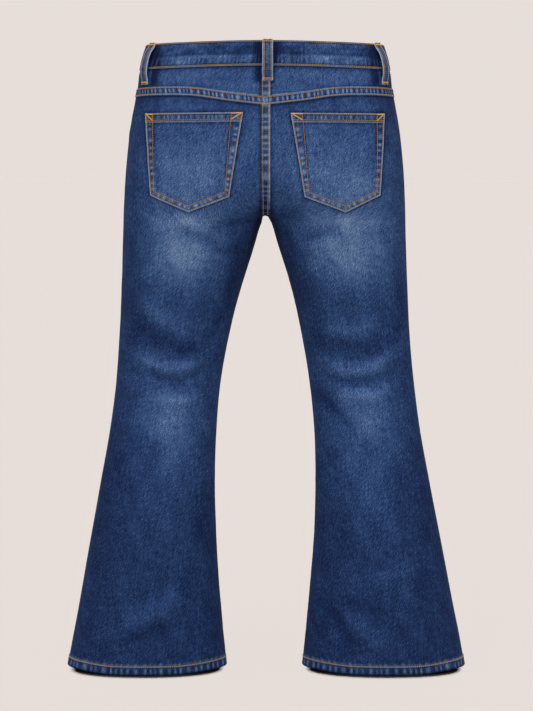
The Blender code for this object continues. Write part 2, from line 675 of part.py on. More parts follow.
def belt_loop(name, side, face, from_centre, seat_rise, stand_off):
    """A strip tacked over the waistband at both ends and standing off it between them."""
    length = row_length(face, LOOP_ROW)
    share = 1 - from_centre / length
    top = waist_top(face, share) + LOOP_TOP_LAP
    bottom = waist_seam(face, share) - LOOP_BELOW
    band = BAND_OUT + BAND_CROWN
    inside = (
        (bottom, seat_rise + GAP),
        (bottom + LOOP_TACK, seat_rise + GAP),
        (bottom + LOOP_TACK + LOOP_FOOT, (seat_rise + band + stand_off) / 2),
        (waist_seam(face, share) + LOOP_SEAM, band + stand_off),
        ((bottom + top) / 2 + LOOP_HIGH, band + stand_off + LOOP_SLACK),
        (top - LOOP_TACK - LOOP_SHOULDER, band + stand_off),
        (top - LOOP_TACK - LOOP_NECK, band + stand_off * LOOP_NECK_SHARE),
        (top - LOOP_TACK, band + GAP),
        (top, band + GAP),
    )
    heights = np.minimum(np.array([row[0] for row in inside]), TOP_OF_TABLE)
    offsets = np.array([row[1] for row in inside])
    half = LOOP_WIDTH / 2
    beside = share + np.array([-1, -0.5, 0, 0.5, 1]) * half / length
    points, normals = cloth_at(side, face, heights[:, None], np.minimum(beside, 1)[None, :])
    level = np.cross(normals[4, 2], [0.0, 0.0, 1.0])
    level /= np.linalg.norm(level)
    out = np.cross([0.0, 0.0, 1.0], level)
    out *= np.sign(out @ normals[4, 2])
    # The strip is straight across, so it rides on whatever stands out most under its width.
    depth = (points @ out).max(axis=1) + offsets
    centre = points[:, 2] @ level
    path = centre[:, None] * level + depth[:, None] * out + heights[:, None] * np.array([0.0, 0.0, 1.0])
    slopes = np.gradient(path, axis=0)
    sections = []
    for place, slope in zip(path, slopes, strict=True):
        away = np.cross(level, slope)
        away *= np.sign(away @ out) * LOOP_CLOTH / np.linalg.norm(away)
        edge_a, edge_b = place - level * half, place + level * half
        sections.append([edge_a, edge_b, edge_b + away, edge_a + away])
    return swept(name, np.array(sections), ("denim_light", DENIM_LIGHT))


def belt_loops():
    off = LOOP_STAND_OFF
    belt_loop("belt_loop_back", "right", "back", BACK_LOOP_SHIFT, FELL_RISE, off["back"])
    for side in ("left", "right"):
        name = f"belt_loop_side_{side}"
        belt_loop(name, side, "back", SIDE_LOOP_FROM_CENTRE, 0.0, off["side"])
        name = f"belt_loop_front_{side}"
        belt_loop(name, side, "front", FRONT_LOOP_FROM_CENTRE, 0.0, off["front"])


def fly():
    """The fly's outer layer, lapped over the centre front and curved back to it at the foot."""
    points, _ = front_grid("left")
    over = points[:, -2] * np.array([-1.0, 1.0, 1.0])
    grid = np.concatenate([points[:, -4:], over[:, None]], axis=1)
    top = WAIST_TOP_FRONT - BAND_DEPTH
    foot = top - FLY_LENGTH
    outline = [(-FLY_LAP, top + 0.02), (FLY_WIDTH, top + 0.02)]
    for turn in np.linspace(0, math.pi / 2, 7):
        outline.append((FLY_WIDTH * math.cos(turn) + 0.002, foot + FLY_CURVE * (1 - math.sin(turn))))
    outline.append((-FLY_LAP, foot))
    return laid_on("fly", grid, outline, None, ("denim", DENIM))


def button():
    """The turned shank button on the waistband's lapped end."""
    middle_height = WAIST_TOP_FRONT - BAND_DEPTH / 2
    point, normal = cloth_at("left", "front", middle_height, 1.0)
    face = BAND_OUT + BAND_CROWN + GAP
    turns = np.linspace(0, 2 * math.pi, BUTTON_SIDES, endpoint=False)
    right = np.array([1.0, 0.0, 0.0])
    up = np.cross(normal, right)
    sections = []
    for height, radius in zip(BUTTON["height"], BUTTON["radius"], strict=True):
        middle = point + normal * (face + height / 1000)
        ring = [right * math.cos(a) + up * math.sin(a) for a in turns]
        sections.append([middle + radius / 1000 * way for way in ring])
    return swept("waist_button", np.array(sections), ("copper", COPPER))


def build():
    for old in list(bpy.data.objects):
        bpy.data.objects.remove(old)
    for side in ("left", "right"):
        back_panel(side)
        front_panel(side)
        yoke(side)
        pocket_facing(side)
        back_pocket(side)
        hem(side)
    waistband()
    belt_loops()
    fly()
    button()


build()
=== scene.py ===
# %% [markdown]
# # Flared jeans, seen from behind
# Jeans are flat pieces of denim sewn into tubes, and a wearer's body gives them their shape. Here
# nobody is in them, so the cloth itself has to carry that shape: a waist, a seat, two legs that
# flare below the knee, and the creases that wearing leaves.
#
# The solid model in the frame gives the sizes. This file makes the same pieces again, finer, with
# puckered seams, faded denim and every row of stitching. Cloth simulation could make the folds, but
# it needs a body to drape over and moves with every change, so each fold is a row of a table instead.

import math

import bpy
import numpy as np
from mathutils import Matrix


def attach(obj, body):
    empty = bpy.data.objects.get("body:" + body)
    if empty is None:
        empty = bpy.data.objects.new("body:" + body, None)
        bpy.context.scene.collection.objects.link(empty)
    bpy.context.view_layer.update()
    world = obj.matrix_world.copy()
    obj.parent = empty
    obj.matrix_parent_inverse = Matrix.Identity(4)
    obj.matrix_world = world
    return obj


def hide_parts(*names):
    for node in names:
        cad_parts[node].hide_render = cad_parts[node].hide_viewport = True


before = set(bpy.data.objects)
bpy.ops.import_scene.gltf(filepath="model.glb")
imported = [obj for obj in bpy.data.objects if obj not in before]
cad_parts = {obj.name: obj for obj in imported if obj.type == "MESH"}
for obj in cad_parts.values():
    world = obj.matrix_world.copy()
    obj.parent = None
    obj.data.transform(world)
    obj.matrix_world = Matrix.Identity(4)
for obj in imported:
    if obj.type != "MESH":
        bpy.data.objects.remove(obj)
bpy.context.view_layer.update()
scene = bpy.context.scene


def in_scene(name, data):
    """A new object in the scene, from its mesh, lamp or camera."""
    made = bpy.data.objects.new(name, data)
    scene.collection.objects.link(made)
    return made


# %% [markdown]
# ## Camera
# The photograph's waist edge curves up and its hems curve down, which only happens when the camera
# stands at about chest height a few metres away. Its distance and height come from how strongly
# they curve. The lens then follows from the size on the picture: 625 pixels for each metre.

# %% Camera
HELD_HEIGHT = 0.985  # from the hems up to the waist, where the frame has its origin
CAMERA_AWAY = 3.7
CAMERA_ASIDE = -0.0024
CAMERA_HEIGHT = 0.867
CAMERA_PITCH = math.radians(5.54)
PIXELS_PER_METRE = 625
PICTURE_HEIGHT = 711
SENSOR = 36.0

camera = in_scene("camera", bpy.data.cameras.new("camera"))
camera.data.sensor_width = SENSOR
camera.data.lens = PIXELS_PER_METRE * CAMERA_AWAY / PICTURE_HEIGHT * SENSOR
camera.location = (CAMERA_ASIDE, CAMERA_AWAY, CAMERA_HEIGHT - HELD_HEIGHT)
camera.rotation_euler = (math.pi / 2 - CAMERA_PITCH, 0, math.pi)
scene.camera = camera
print("lens", round(camera.data.lens, 1), "mm")

# %% [markdown]
# ## Studio
# The photograph has one pale colour from top to bottom, and a shadow only where the hems meet the
# floor. Photographers get that with a lamp for the floor alone. Light linking does the same here:
# the floor lamp lights nothing else, and all that blocks it is a hidden sheet inside each hem, like
# a studio's black flag. The world has the backdrop's colour, and the floor's own colour is worked
# out so that both look the same. Three softer lamps shape the cloth.

# %% Light and floor
BACKDROP = (0.799, 0.730, 0.694, 1.0)
FLOOR_SIZE = 80.0
FLOOR_DROP = 0.0002  # the hems stop just short of the floor


def table(names, *rows):
    """Columns by their names, from rows that each say everything about one thing."""
    return dict(zip(names, zip(*rows, strict=True), strict=True))


def material(name, inputs):
    """A new material, whose shader has these inputs."""
    made = bpy.data.materials.new(name)
    made.use_nodes = True
    for key, value in inputs.items():
        made.node_tree.nodes["Principled BSDF"].inputs[key].default_value = value
    return made


# A sun's turn, rise and width are in degrees. It turns round from the camera, to the picture's left.
SUNS = table(
    ("name", "turn", "rise", "strength", "width"),
    ("floor lamp", 180, 40, 150.0, 24),
    ("overhead", 0, 84, 1.6, 40),
    ("key", 24, 42, 0.90, 34),
    ("fill", -34, 30, 0.40, 60),
)
world = bpy.data.worlds.new("studio")
world.use_nodes = True
world.node_tree.nodes["Background"].inputs["Color"].default_value = BACKDROP
scene.world = world
scene.view_settings.view_transform = "Standard"

for n, name in enumerate(SUNS["name"]):
    sun = in_scene(name, bpy.data.lights.new(name, "SUN"))
    sun.data.energy = SUNS["strength"][n]
    sun.data.angle = math.radians(SUNS["width"][n])
    turn, rise = math.radians(SUNS["turn"][n]), math.radians(SUNS["rise"][n])
    sun.rotation_euler = (math.pi / 2 - rise, 0, math.pi - turn)
floor_lamp = bpy.data.objects["floor lamp"]
floor_lamp.light_linking.receiver_collection = bpy.data.collections.new("lit by the floor lamp")
floor_lamp.light_linking.blocker_collection = bpy.data.collections.new("blocks the floor lamp")

from_suns = sum(
    strength * math.sin(math.radians(rise)) / math.pi
    for strength, rise in zip(SUNS["strength"], SUNS["rise"], strict=True)
)
floor_colour = [value / (value + from_suns) for value in BACKDROP[:3]]

half = FLOOR_SIZE / 2
floor_mesh = bpy.data.meshes.new("floor")
corners = [(-half, -half), (half, -half), (half, half), (-half, half)]
floor_mesh.from_pydata([(x, y, -HELD_HEIGHT - FLOOR_DROP) for x, y in corners], [], [(0, 1, 2, 3)])
paper = {"Base Color": (*floor_colour, 1.0), "Roughness": 1.0, "Specular IOR Level": 0.0}
floor_mesh.materials.append(material("paper", paper))
floor = in_scene("floor", floor_mesh)
floor_lamp.light_linking.receiver_collection.objects.link(floor)
print(len(SUNS["name"]), "suns, and a floor of colour", [round(value, 3) for value in floor_colour])

# %% [markdown]
# ## The shape of the cloth
# A tailor measures a body at a few heights. The tables below do the same: each row of numbers
# belongs to one height above the hems, or for the yoke's seam to one distance from the centre.
# Smooth curves through them give every place in between.
# These are the solid model's own numbers, so that both have one shape. Only the yoke's seam is
# 1.4 mm lower here and the hems are 1.5 mm deeper, because the photograph shows them so.

# %% Measurements
WAIST_TOP = {"back": 1.006, "side": 1.000, "front": 0.972}  # height of the top edge
BAND_DEPTH = 0.038
CROTCH_HEIGHT = 0.735
CROTCH_ROW = 0.715  # the sheet's row that ends at the fork
FORK_DROP = {"back": 0.095, "front": 0.080}  # how far above the fork the rows begin to bend to it
CLOTH = 0.0014  # one layer of denim
GAP = 0.0003  # between two pieces
FELL_RISE = 0.0011  # how far a felled seam stands up
FELL_SLOPE = 0.0010  # and how wide its slope is
YOKE_FELL = 0.0125  # depth of the felled seam under the yoke
SEAT_FELL = {"left": 0.0045, "right": 0.0075}  # from the centre to the edge of the seat's seam
SEAT_ROW = {"left": 0.0034, "right": 0.0051}  # and to its row of stitches
HEM_DEPTH = 0.0150
HEM_ROW = HEM_DEPTH - 0.0012  # height of the hem's row of stitches
TOP_OF_TABLE = 1.015
# Side, back and front are a section's edges, lobe is where it reaches furthest back and front, and
# square says how square its corners are.
SECTIONS = table(
    ("height", "side", "back", "front", "lobe", "square"),
    (0.000, 0.3222, 0.0680, -0.0680, 0.1920, 2.30),
    (0.080, 0.3070, 0.0660, -0.0660, 0.1880, 2.30),
    (0.180, 0.2888, 0.0620, -0.0640, 0.1830, 2.25),
    (0.300, 0.2662, 0.0560, -0.0620, 0.1740, 2.20),
    (0.400, 0.2485, 0.0520, -0.0630, 0.1640, 2.20),
    (0.480, 0.2382, 0.0530, -0.0670, 0.1540, 2.20),
    (0.560, 0.2312, 0.0620, -0.0770, 0.1430, 2.25),
    (0.640, 0.2286, 0.0790, -0.0880, 0.1300, 2.30),
    (0.700, 0.2264, 0.0960, -0.0940, 0.1180, 2.40),
    (0.760, 0.2240, 0.1120, -0.0970, 0.1020, 2.50),
    (0.820, 0.2198, 0.1190, -0.0980, 0.0880, 2.70),
    (0.880, 0.2128, 0.1150, -0.0970, 0.0720, 2.90),
    (0.930, 0.2028, 0.1070, -0.0940, 0.0560, 3.10),
    (0.965, 0.1950, 0.1000, -0.0900, 0.0440, 3.30),
    (1.015, 0.1848, 0.0910, -0.0840, 0.0300, 3.40),
)
INSIDE_LEG = table(
    ("height", "gap"),
    (0.000, 0.0622),
    (0.070, 0.0677),
    (0.149, 0.0746),
    (0.227, 0.0787),
    (0.306, 0.0808),
    (0.384, 0.0790),
    (0.462, 0.0724),
    (0.540, 0.0586),
    (0.617, 0.0401),
    (0.694, 0.0168),
    (0.720, 0.0096),
    (0.735, 0.0042),
)
CENTRE_DIP = table(
    ("height", "dip"),
    (0.760, 0.0060),
    (0.830, 0.0035),
    (0.900, 0.0010),
    (1.015, 0.0000),
)
YOKE_SEAM = table(
    ("from_centre", "height"),
    (0.000, 0.9208),
    (0.056, 0.9271),
    (0.115, 0.9348),
    (0.165, 0.9356),
    (0.240, 0.9331),
)


def smooth_value(measured, column, at, key="height"):
    """A column's value at any key, on a smooth curve through a table's rows."""
    knots, values = np.array(measured[key], float), np.array(measured[column], float)
    at = np.clip(np.asarray(at, float), knots[0], knots[-1])
    slopes = np.gradient(values, knots)
    i = np.clip(np.searchsorted(knots, at) - 1, 0, len(knots) - 2)
    step = knots[i + 1] - knots[i]
    t = (at - knots[i]) / step
    rise = values[i] * (1 + 2 * t) * (1 - t) ** 2 + values[i + 1] * t * t * (3 - 2 * t)
    lean = slopes[i] * t * (1 - t) ** 2 - slopes[i + 1] * t * t * (1 - t)
    return rise + lean * step


def near(distance, width):
    """1 at no distance, falling softly to 0 over about twice the width."""
    return np.exp(-((distance / width) ** 2))


def ease(t):
    """A soft step from 0 to 1."""
    t = np.clip(t, 0.0, 1.0)
    return t * t * (3 - 2 * t)


print("girth at the hips:", round(float(smooth_value(SECTIONS, "side", 0.85)), 3), "m to each side")

# %% [markdown]
# ## A surface with two coordinates
# One half of the jeans is treated as a sheet with its own coordinates: the height of a row, and how
# far along that row a point is, from the side seam to the middle. Above the crotch a row ends on the
# centre seam, below it on the inside leg. Sheet coordinates make everything after this easier: a
# pocket, a row of stitches or a crease is a line in them, whatever the body does underneath.

# %% The sheet
FINE_HEIGHTS = 520
FINE_SHARES = 201
ARC_SAMPLES = 90
SMOOTHING = 5  # how many grid points the outward directions are smoothed over, each way


def inseam_depth(height):
    """How far back the seams of a leg stand."""
    middle = (smooth_value(SECTIONS, "back", height) + smooth_value(SECTIONS, "front", height)) / 2
    return middle * ease((0.80 - height) / 0.20)


def row_ends(face, height):
    """Where rows end: on the centre seam, round the fork or on the inside leg."""
    depth = smooth_value(SECTIONS, face, height)
    side = 1 if face == "back" else -1
    top = CROTCH_HEIGHT + FORK_DROP[face]
    centre = depth - side * smooth_value(CENTRE_DIP, "dip", height)
    start = smooth_value(SECTIONS, face, top) - side * smooth_value(CENTRE_DIP, "dip", top)
    turn = np.clip((top - height) / (top - CROTCH_ROW), 0, 1) * math.pi / 2
    middle = inseam_depth(height)
    end_y = np.where(height > top, centre, middle + (start - middle) * np.cos(turn))
    end_z = np.where(height > top, height, CROTCH_HEIGHT + FORK_DROP[face] * (1 - np.sin(turn)))
    on_leg = height < CROTCH_ROW
    end_z = np.where(on_leg, height * CROTCH_HEIGHT / CROTCH_ROW, end_z)
    end_x = np.where(on_leg, smooth_value(INSIDE_LEG, "gap", end_z), 0.0)
    return end_x, end_y, end_z


def blurred(grid, reach):
    """Each grid point's mean with those round it."""
    for axis in (0, 1):
        last = grid.shape[axis] - 1
        shifted = [np.clip(np.arange(last + 1) + step, 0, last) for step in range(-reach, reach + 1)]
        grid = sum(np.take(grid, index, axis=axis) for index in shifted) / len(shifted)
    return grid


def fine_surface(face):
    """A face's fine grid of points, its outward directions and the length of each row."""
    height = np.linspace(0, TOP_OF_TABLE, FINE_HEIGHTS)
    side = smooth_value(SECTIONS, "side", height)[:, None]
    depth = smooth_value(SECTIONS, face, height)[:, None]
    lobe = smooth_value(SECTIONS, "lobe", height)[:, None]
    power = 2 / smooth_value(SECTIONS, "square", height)[:, None]
    middle = inseam_depth(height)[:, None]
    end_x, end_y, end_z = (values[:, None] for values in row_ends(face, height))
    angle = ease(np.linspace(0, 1, ARC_SAMPLES))[None, :] * math.pi / 2
    cosine, sine = np.clip(np.cos(angle), 0, 1), np.sin(angle)
    outer_x = lobe + (side - lobe) * cosine**power
    outer_y = middle + (depth - middle) * sine**power
    on_leg = ease((CROTCH_HEIGHT + 0.12 - height) / 0.14)[:, None]
    inner_x = lobe + (end_x - lobe) * sine
    inner_y = end_y + (depth - end_y) * cosine ** (2.0 - 1.05 * on_leg)
    x = np.concatenate([outer_x, inner_x[:, 1:]], axis=1)
    y = np.concatenate([outer_y, inner_y[:, 1:]], axis=1)
    walk = np.pad(np.hypot(np.diff(x), np.diff(y)).cumsum(axis=1), ((0, 0), (1, 0)))
    share = walk / walk[:, -1:]
    z = height[:, None] + (end_z - height[:, None]) * ease((share - 0.3) / 0.7)
    wanted = np.linspace(0, 1, FINE_SHARES)
    points = np.empty((FINE_HEIGHTS, FINE_SHARES, 3))
    for i, row in enumerate(share):
        for axis, values in enumerate((x, y, z)):
            points[i, :, axis] = np.interp(wanted, row, values[i])
    across, upward = np.gradient(points, axis=1), np.gradient(points, axis=0)
    normals = blurred(np.cross(across, upward), SMOOTHING) * (1 if face == "back" else -1)
    normals /= np.linalg.norm(normals, axis=2, keepdims=True)
    return {"points": points, "normals": normals, "lengths": walk[:, -1]}


SURFACE = {face: fine_surface(face) for face in ("back", "front")}


def between(grid, height, share):
    """A fine grid's value at any height and share, from the four grid points around it."""
    row = np.clip(height / TOP_OF_TABLE, 0, 1) * (FINE_HEIGHTS - 1)
    column = np.clip(share, 0, 1) * (FINE_SHARES - 1)
    i = np.minimum(row.astype(int), FINE_HEIGHTS - 2)
    j = np.minimum(column.astype(int), FINE_SHARES - 2)
    a, b = (row - i)[..., None], (column - j)[..., None]
    low = grid[i, j] * (1 - b) + grid[i, j + 1] * b
    high = grid[i + 1, j] * (1 - b) + grid[i + 1, j + 1] * b
    return low * (1 - a) + high * a


def row_length(face, height):
    level = np.linspace(0, TOP_OF_TABLE, FINE_HEIGHTS)
    return np.interp(height, level, SURFACE[face]["lengths"])


BACK_ROW = float(row_length("back", 0.92))  # a row's length where the seams' widths are measured
FRONT_ROW = float(row_length("front", 0.93))
print("half of the back is", round(BACK_ROW * 1000), "mm wide under the yoke")

# %% [markdown]
# ## Creases
# Denim creases where the body bends: behind the knee, under the seat and from the fork to the hip.
# Each crease is a soft bump or trough, long one way and narrow the other, at a tilt. A crease that
# sags in the middle, like those behind the knee, has a bend. Sharper ones than these would show as
# steps, so the small, even unrest of worn cloth is added with a few crossing waves.
#
# The photographed pair isn't quite even either. A table moves the cloth sideways by up to 3 mm, the
# sides of the hems curl off the floor, the waist stands a little higher and the fork sags.

# %% Crease tables
FOLDS = {
    ("back", "left"): table(
        ("across", "height", "long", "wide", "tilt", "bend", "rise"),
        (0.110, 0.680, 0.044, 0.017, 12, 0.000, 0.0008),
        (0.160, 0.573, 0.054, 0.016, 40, 0.004, 0.0028),
        (0.150, 0.532, 0.060, 0.020, 26, 0.004, -0.0032),
        (0.152, 0.495, 0.060, 0.010, 2, 0.018, 0.0036),
        (0.187, 0.098, 0.050, 0.016, -30, 0.000, 0.0028),
        (0.052, 0.724, 0.032, 0.009, -10, 0.000, -0.0020),
        (0.062, 0.682, 0.026, 0.009, 8, 0.000, -0.0018),
        (0.146, 0.473, 0.042, 0.008, 4, 0.017, -0.0022),
        (0.142, 0.441, 0.038, 0.010, -4, 0.006, 0.0034),
        (0.092, 0.440, 0.020, 0.005, 62, 0.000, -0.0014),
        (0.175, 0.330, 0.060, 0.024, 74, 0.000, -0.0018),
        (0.100, 0.240, 0.050, 0.018, 80, 0.000, -0.0016),
        (0.187, 0.070, 0.034, 0.011, -24, 0.000, -0.0020),
        (0.108, 0.705, 0.030, 0.007, 25, 0.000, -0.0024),
    ),
    ("back", "right"): table(
        ("across", "height", "long", "wide", "tilt", "bend", "rise"),
        (0.110, 0.688, 0.044, 0.017, 10, 0.000, 0.0008),
        (0.134, 0.551, 0.044, 0.015, 8, 0.012, 0.0028),
        (0.136, 0.524, 0.054, 0.018, -4, 0.008, -0.0028),
        (0.150, 0.491, 0.056, 0.012, 8, 0.019, 0.0040),
        (0.124, 0.076, 0.040, 0.011, -61, 0.000, -0.0034),
        (0.040, 0.740, 0.030, 0.009, 4, 0.000, -0.0020),
        (0.086, 0.692, 0.030, 0.009, 12, 0.000, 0.0014),
        (0.146, 0.470, 0.060, 0.007, 2, 0.018, -0.0020),
        (0.156, 0.449, 0.044, 0.012, 0, 0.006, 0.0036),
        (0.110, 0.423, 0.048, 0.011, -43, 0.000, -0.0040),
        (0.122, 0.235, 0.050, 0.014, -84, 0.000, -0.0016),
        (0.190, 0.330, 0.060, 0.026, -74, 0.000, -0.0018),
        (0.156, 0.073, 0.045, 0.014, -42, 0.000, 0.0026),
        (0.205, 0.162, 0.036, 0.013, 17, 0.000, 0.0018),
        (0.156, 0.108, 0.032, 0.012, -13, 0.000, -0.0022),
        (0.090, 0.709, 0.028, 0.007, 25, 0.000, -0.0022),
    ),
    ("front", "left"): table(
        ("across", "height", "long", "wide", "tilt", "bend", "rise"),
        (0.108, 0.750, 0.046, 0.017, 20, 0.000, -0.0032),
        (0.112, 0.716, 0.046, 0.017, 14, 0.000, 0.0032),
        (0.150, 0.520, 0.050, 0.018, -10, -0.006, -0.0036),
        (0.140, 0.480, 0.046, 0.018, 8, -0.005, 0.0032),
        (0.160, 0.130, 0.055, 0.022, 40, 0.000, 0.0028),
        (0.070, 0.745, 0.034, 0.009, 26, 0.000, -0.0022),
        (0.120, 0.560, 0.040, 0.010, 12, 0.000, 0.0020),
        (0.150, 0.440, 0.040, 0.010, -8, -0.004, -0.0020),
    ),
    ("front", "right"): table(
        ("across", "height", "long", "wide", "tilt", "bend", "rise"),
        (0.106, 0.756, 0.046, 0.017, 24, 0.000, -0.0032),
        (0.114, 0.722, 0.046, 0.017, 16, 0.000, 0.0032),
        (0.146, 0.508, 0.052, 0.018, 8, -0.006, -0.0036),
        (0.152, 0.466, 0.046, 0.018, -6, -0.004, 0.0030),
        (0.170, 0.150, 0.060, 0.022, -36, 0.000, -0.0028),
        (0.066, 0.738, 0.034, 0.009, 22, 0.000, -0.0022),
        (0.130, 0.552, 0.040, 0.010, -10, 0.000, 0.0020),
        (0.145, 0.432, 0.040, 0.010, 6, -0.004, -0.0020),
    ),
}
UNREST = 0.00035  # how far the small waves lift the cloth
PLAIN_SHARE = {"side": 0.10, "centre": 0.06}  # creases fade out over this share of a row beside its seams
# How far the cloth stands out further than on an even pair, in millimetres.
UNEVEN = table(
    ("height", "left inner", "left outer", "right inner", "right outer"),
    (0.00, 0.8, -2.0, -1.0, 1.8),
    (0.06, 2.0, -1.4, 0.2, 2.8),
    (0.14, 1.4, -1.2, 0.0, 1.6),
    (0.22, 1.3, -0.8, 1.8, 0.8),
    (0.30, 1.0, -0.3, 1.4, 0.0),
    (0.38, 0.2, -0.5, 1.4, -0.5),
    (0.46, 0.2, -0.5, 0.3, -0.4),
    (0.53, 0.1, 1.2, 1.1, -0.3),
    (0.58, -0.2, 1.3, 2.4, -0.2),
    (0.64, -1.6, 0.0, 3.1, -1.6),
    (0.70, -1.6, 0.0, 2.6, -2.0),
    (0.722, -2.4, 0.0, 2.2, -1.8),
    (0.735, 0.0, 0.0, 0.0, -1.6),
    (0.80, 0.0, -0.2, 0.0, -1.0),
    (0.90, 0.0, -0.8, 0.0, -1.4),
    (0.935, 0.0, -0.4, 0.0, -0.8),
    (0.955, 0.0, 2.0, 0.0, 1.8),
    (0.978, 0.0, 1.4, 0.0, 1.4),
    (1.00, 0.0, -1.0, 0.0, -1.0),
)
HEM_CURL = {"outer": 0.0052, "inner": 0.0042}  # how high a hem curls off the floor at its two sides
BAND_RISE = 0.0015  # how much higher the waist's top edge is than on the solid model
FORK_SAG = 0.0016  # how much lower the fork hangs than on the solid model
CURL_SHARE = 0.32  # of a leg's width, at each side, curls up
CURL_REACH = 0.12  # how far up the leg the curl is felt


def uneven(side, across, height):
    """How far a place on one side moves out to match the pair in the photograph."""
    gap, reach = smooth_value(INSIDE_LEG, "gap", height), smooth_value(SECTIONS, "side", height)
    outward = np.clip((across - gap) / (reach - gap), 0, 1)
    inner, outer = (
        np.interp(height, UNEVEN["height"], UNEVEN[f"{side} {edge}"]) / 1000
        for edge in ("inner", "outer")
    )
    return inner * (1 - outward) + outer * outward


def hem_curl(across):
    """How far a hem has curled up, at a distance from the middle."""
    gap, reach = INSIDE_LEG["gap"][0], SECTIONS["side"][0]
    outward = (across - gap) / (reach - gap)
    outer = HEM_CURL["outer"] * ease((outward - 1 + CURL_SHARE) / CURL_SHARE)
    return outer + HEM_CURL["inner"] * ease((CURL_SHARE - outward) / CURL_SHARE)


def band_rise(height):
    """How much higher the waist stands, from none at its foot to all at its top."""
    return BAND_RISE * ease((height - 0.955) / 0.045)


def fold_rise(folds, across, height):
    """How far a table's creases lift the cloth at these places."""
    rise = np.zeros_like(across)
    for n, tilt in enumerate(folds["tilt"]):
        right, up = across - folds["across"][n], height - folds["height"][n]
        turn = math.radians(tilt)
        along = right * math.cos(turn) + up * math.sin(turn)
        off = up * math.cos(turn) - right * math.sin(turn)
        off = off - folds["bend"][n] * (along / folds["long"][n]) ** 2
        fade = np.exp(-((along / folds["long"][n]) ** 4))
        rise += folds["rise"][n] * fade * np.exp(-((off / folds["wide"][n]) ** 2))
    return rise


def unrest(across, height, seed):
    """Small uneven waves of worn cloth, from about -1 to 1."""
    chance = np.random.default_rng(seed)
    total = np.zeros_like(across)
    for _ in range(9):
        length, heading = chance.uniform(0.020, 0.075), chance.uniform(0, math.pi)
        way = across * math.cos(heading) + height * math.sin(heading)
        total += np.sin(way * 2 * math.pi / length + chance.uniform(0, 6.28))
    return total / 3


def ripple(along, pitch, seed):
    """Uneven puckers along a seam, from -1 to 1."""
    chance = np.random.default_rng(seed)
    total = np.zeros_like(along)
    for stretch in (0.71, 1.0, 1.43, 2.2):
        total += np.sin(along * 2 * math.pi / (pitch * stretch) + chance.uniform(0, 6.28))
    return total / 2.4


def cloth_at(side, face, height, share):
    """Points on the outside of the cloth, the outward directions there, and how far folds lift it."""
    height, share = np.broadcast_arrays(np.asarray(height, float), np.asarray(share, float))
    points = between(SURFACE[face]["points"], height, share)
    normals = between(SURFACE[face]["normals"], height, share)
    normals = normals / np.linalg.norm(normals, axis=-1, keepdims=True)
    off_seam = ease(share / PLAIN_SHARE["side"]) * ease((1 - share) / PLAIN_SHARE["centre"])
    fold = fold_rise(FOLDS[face, side], points[..., 0], points[..., 2]) * off_seam
    seed = 11 * ("back", "front").index(face) + 5 * ("left", "right").index(side)
    below_yoke = ease((0.95 - points[..., 2]) / 0.05) * ease((points[..., 2] - 0.01) / 0.03)
    lift = fold + UNREST * unrest(points[..., 0], points[..., 2], seed) * off_seam * below_yoke
    points = points + normals * lift[..., None]
    near_hem = ease((CURL_REACH - height) / CURL_REACH)
    points[..., 2] += hem_curl(points[..., 0]) * near_hem + band_rise(height)
    from_fork = np.hypot(points[..., 0], points[..., 2] - CROTCH_HEIGHT)
    points[..., 2] -= FORK_SAG * near(from_fork, 0.020)
    points[..., 0] += uneven(side, points[..., 0], points[..., 2])
    if side == "right":
        flip = np.array([-1.0, 1.0, 1.0])
        points, normals = points * flip, normals * flip
    return points, normals, fold


def place_of(face, across, height):
    """Sheet coordinates of the cloth point at a distance from the middle and a height."""
    row, share = np.array(height, float), 1 - np.asarray(across, float) / BACK_ROW
    grid, step = SURFACE[face]["points"], 1e-3
    for _ in range(14):
        here = between(grid, row, share)
        probe = np.clip(share, 0.002, 0.995)
        by_row = (between(grid, row + step, probe) - between(grid, row, probe)) / step
        by_share = (between(grid, row, probe + step) - between(grid, row, probe)) / step
        miss_x, miss_z = across - here[..., 0], height - here[..., 2]
        scale = by_row[..., 0] * by_share[..., 2] - by_row[..., 2] * by_share[..., 0]
        row = row + np.clip((miss_x * by_share[..., 2] - miss_z * by_share[..., 0]) / scale, -0.02, 0.02)
        share = share + np.clip((by_row[..., 0] * miss_z - by_row[..., 2] * miss_x) / scale, -0.04, 0.04)
        share = np.clip(share, 0.0, 1.0)
    return row, share


print(sum(len(folds["rise"]) for folds in FOLDS.values()), "creases")
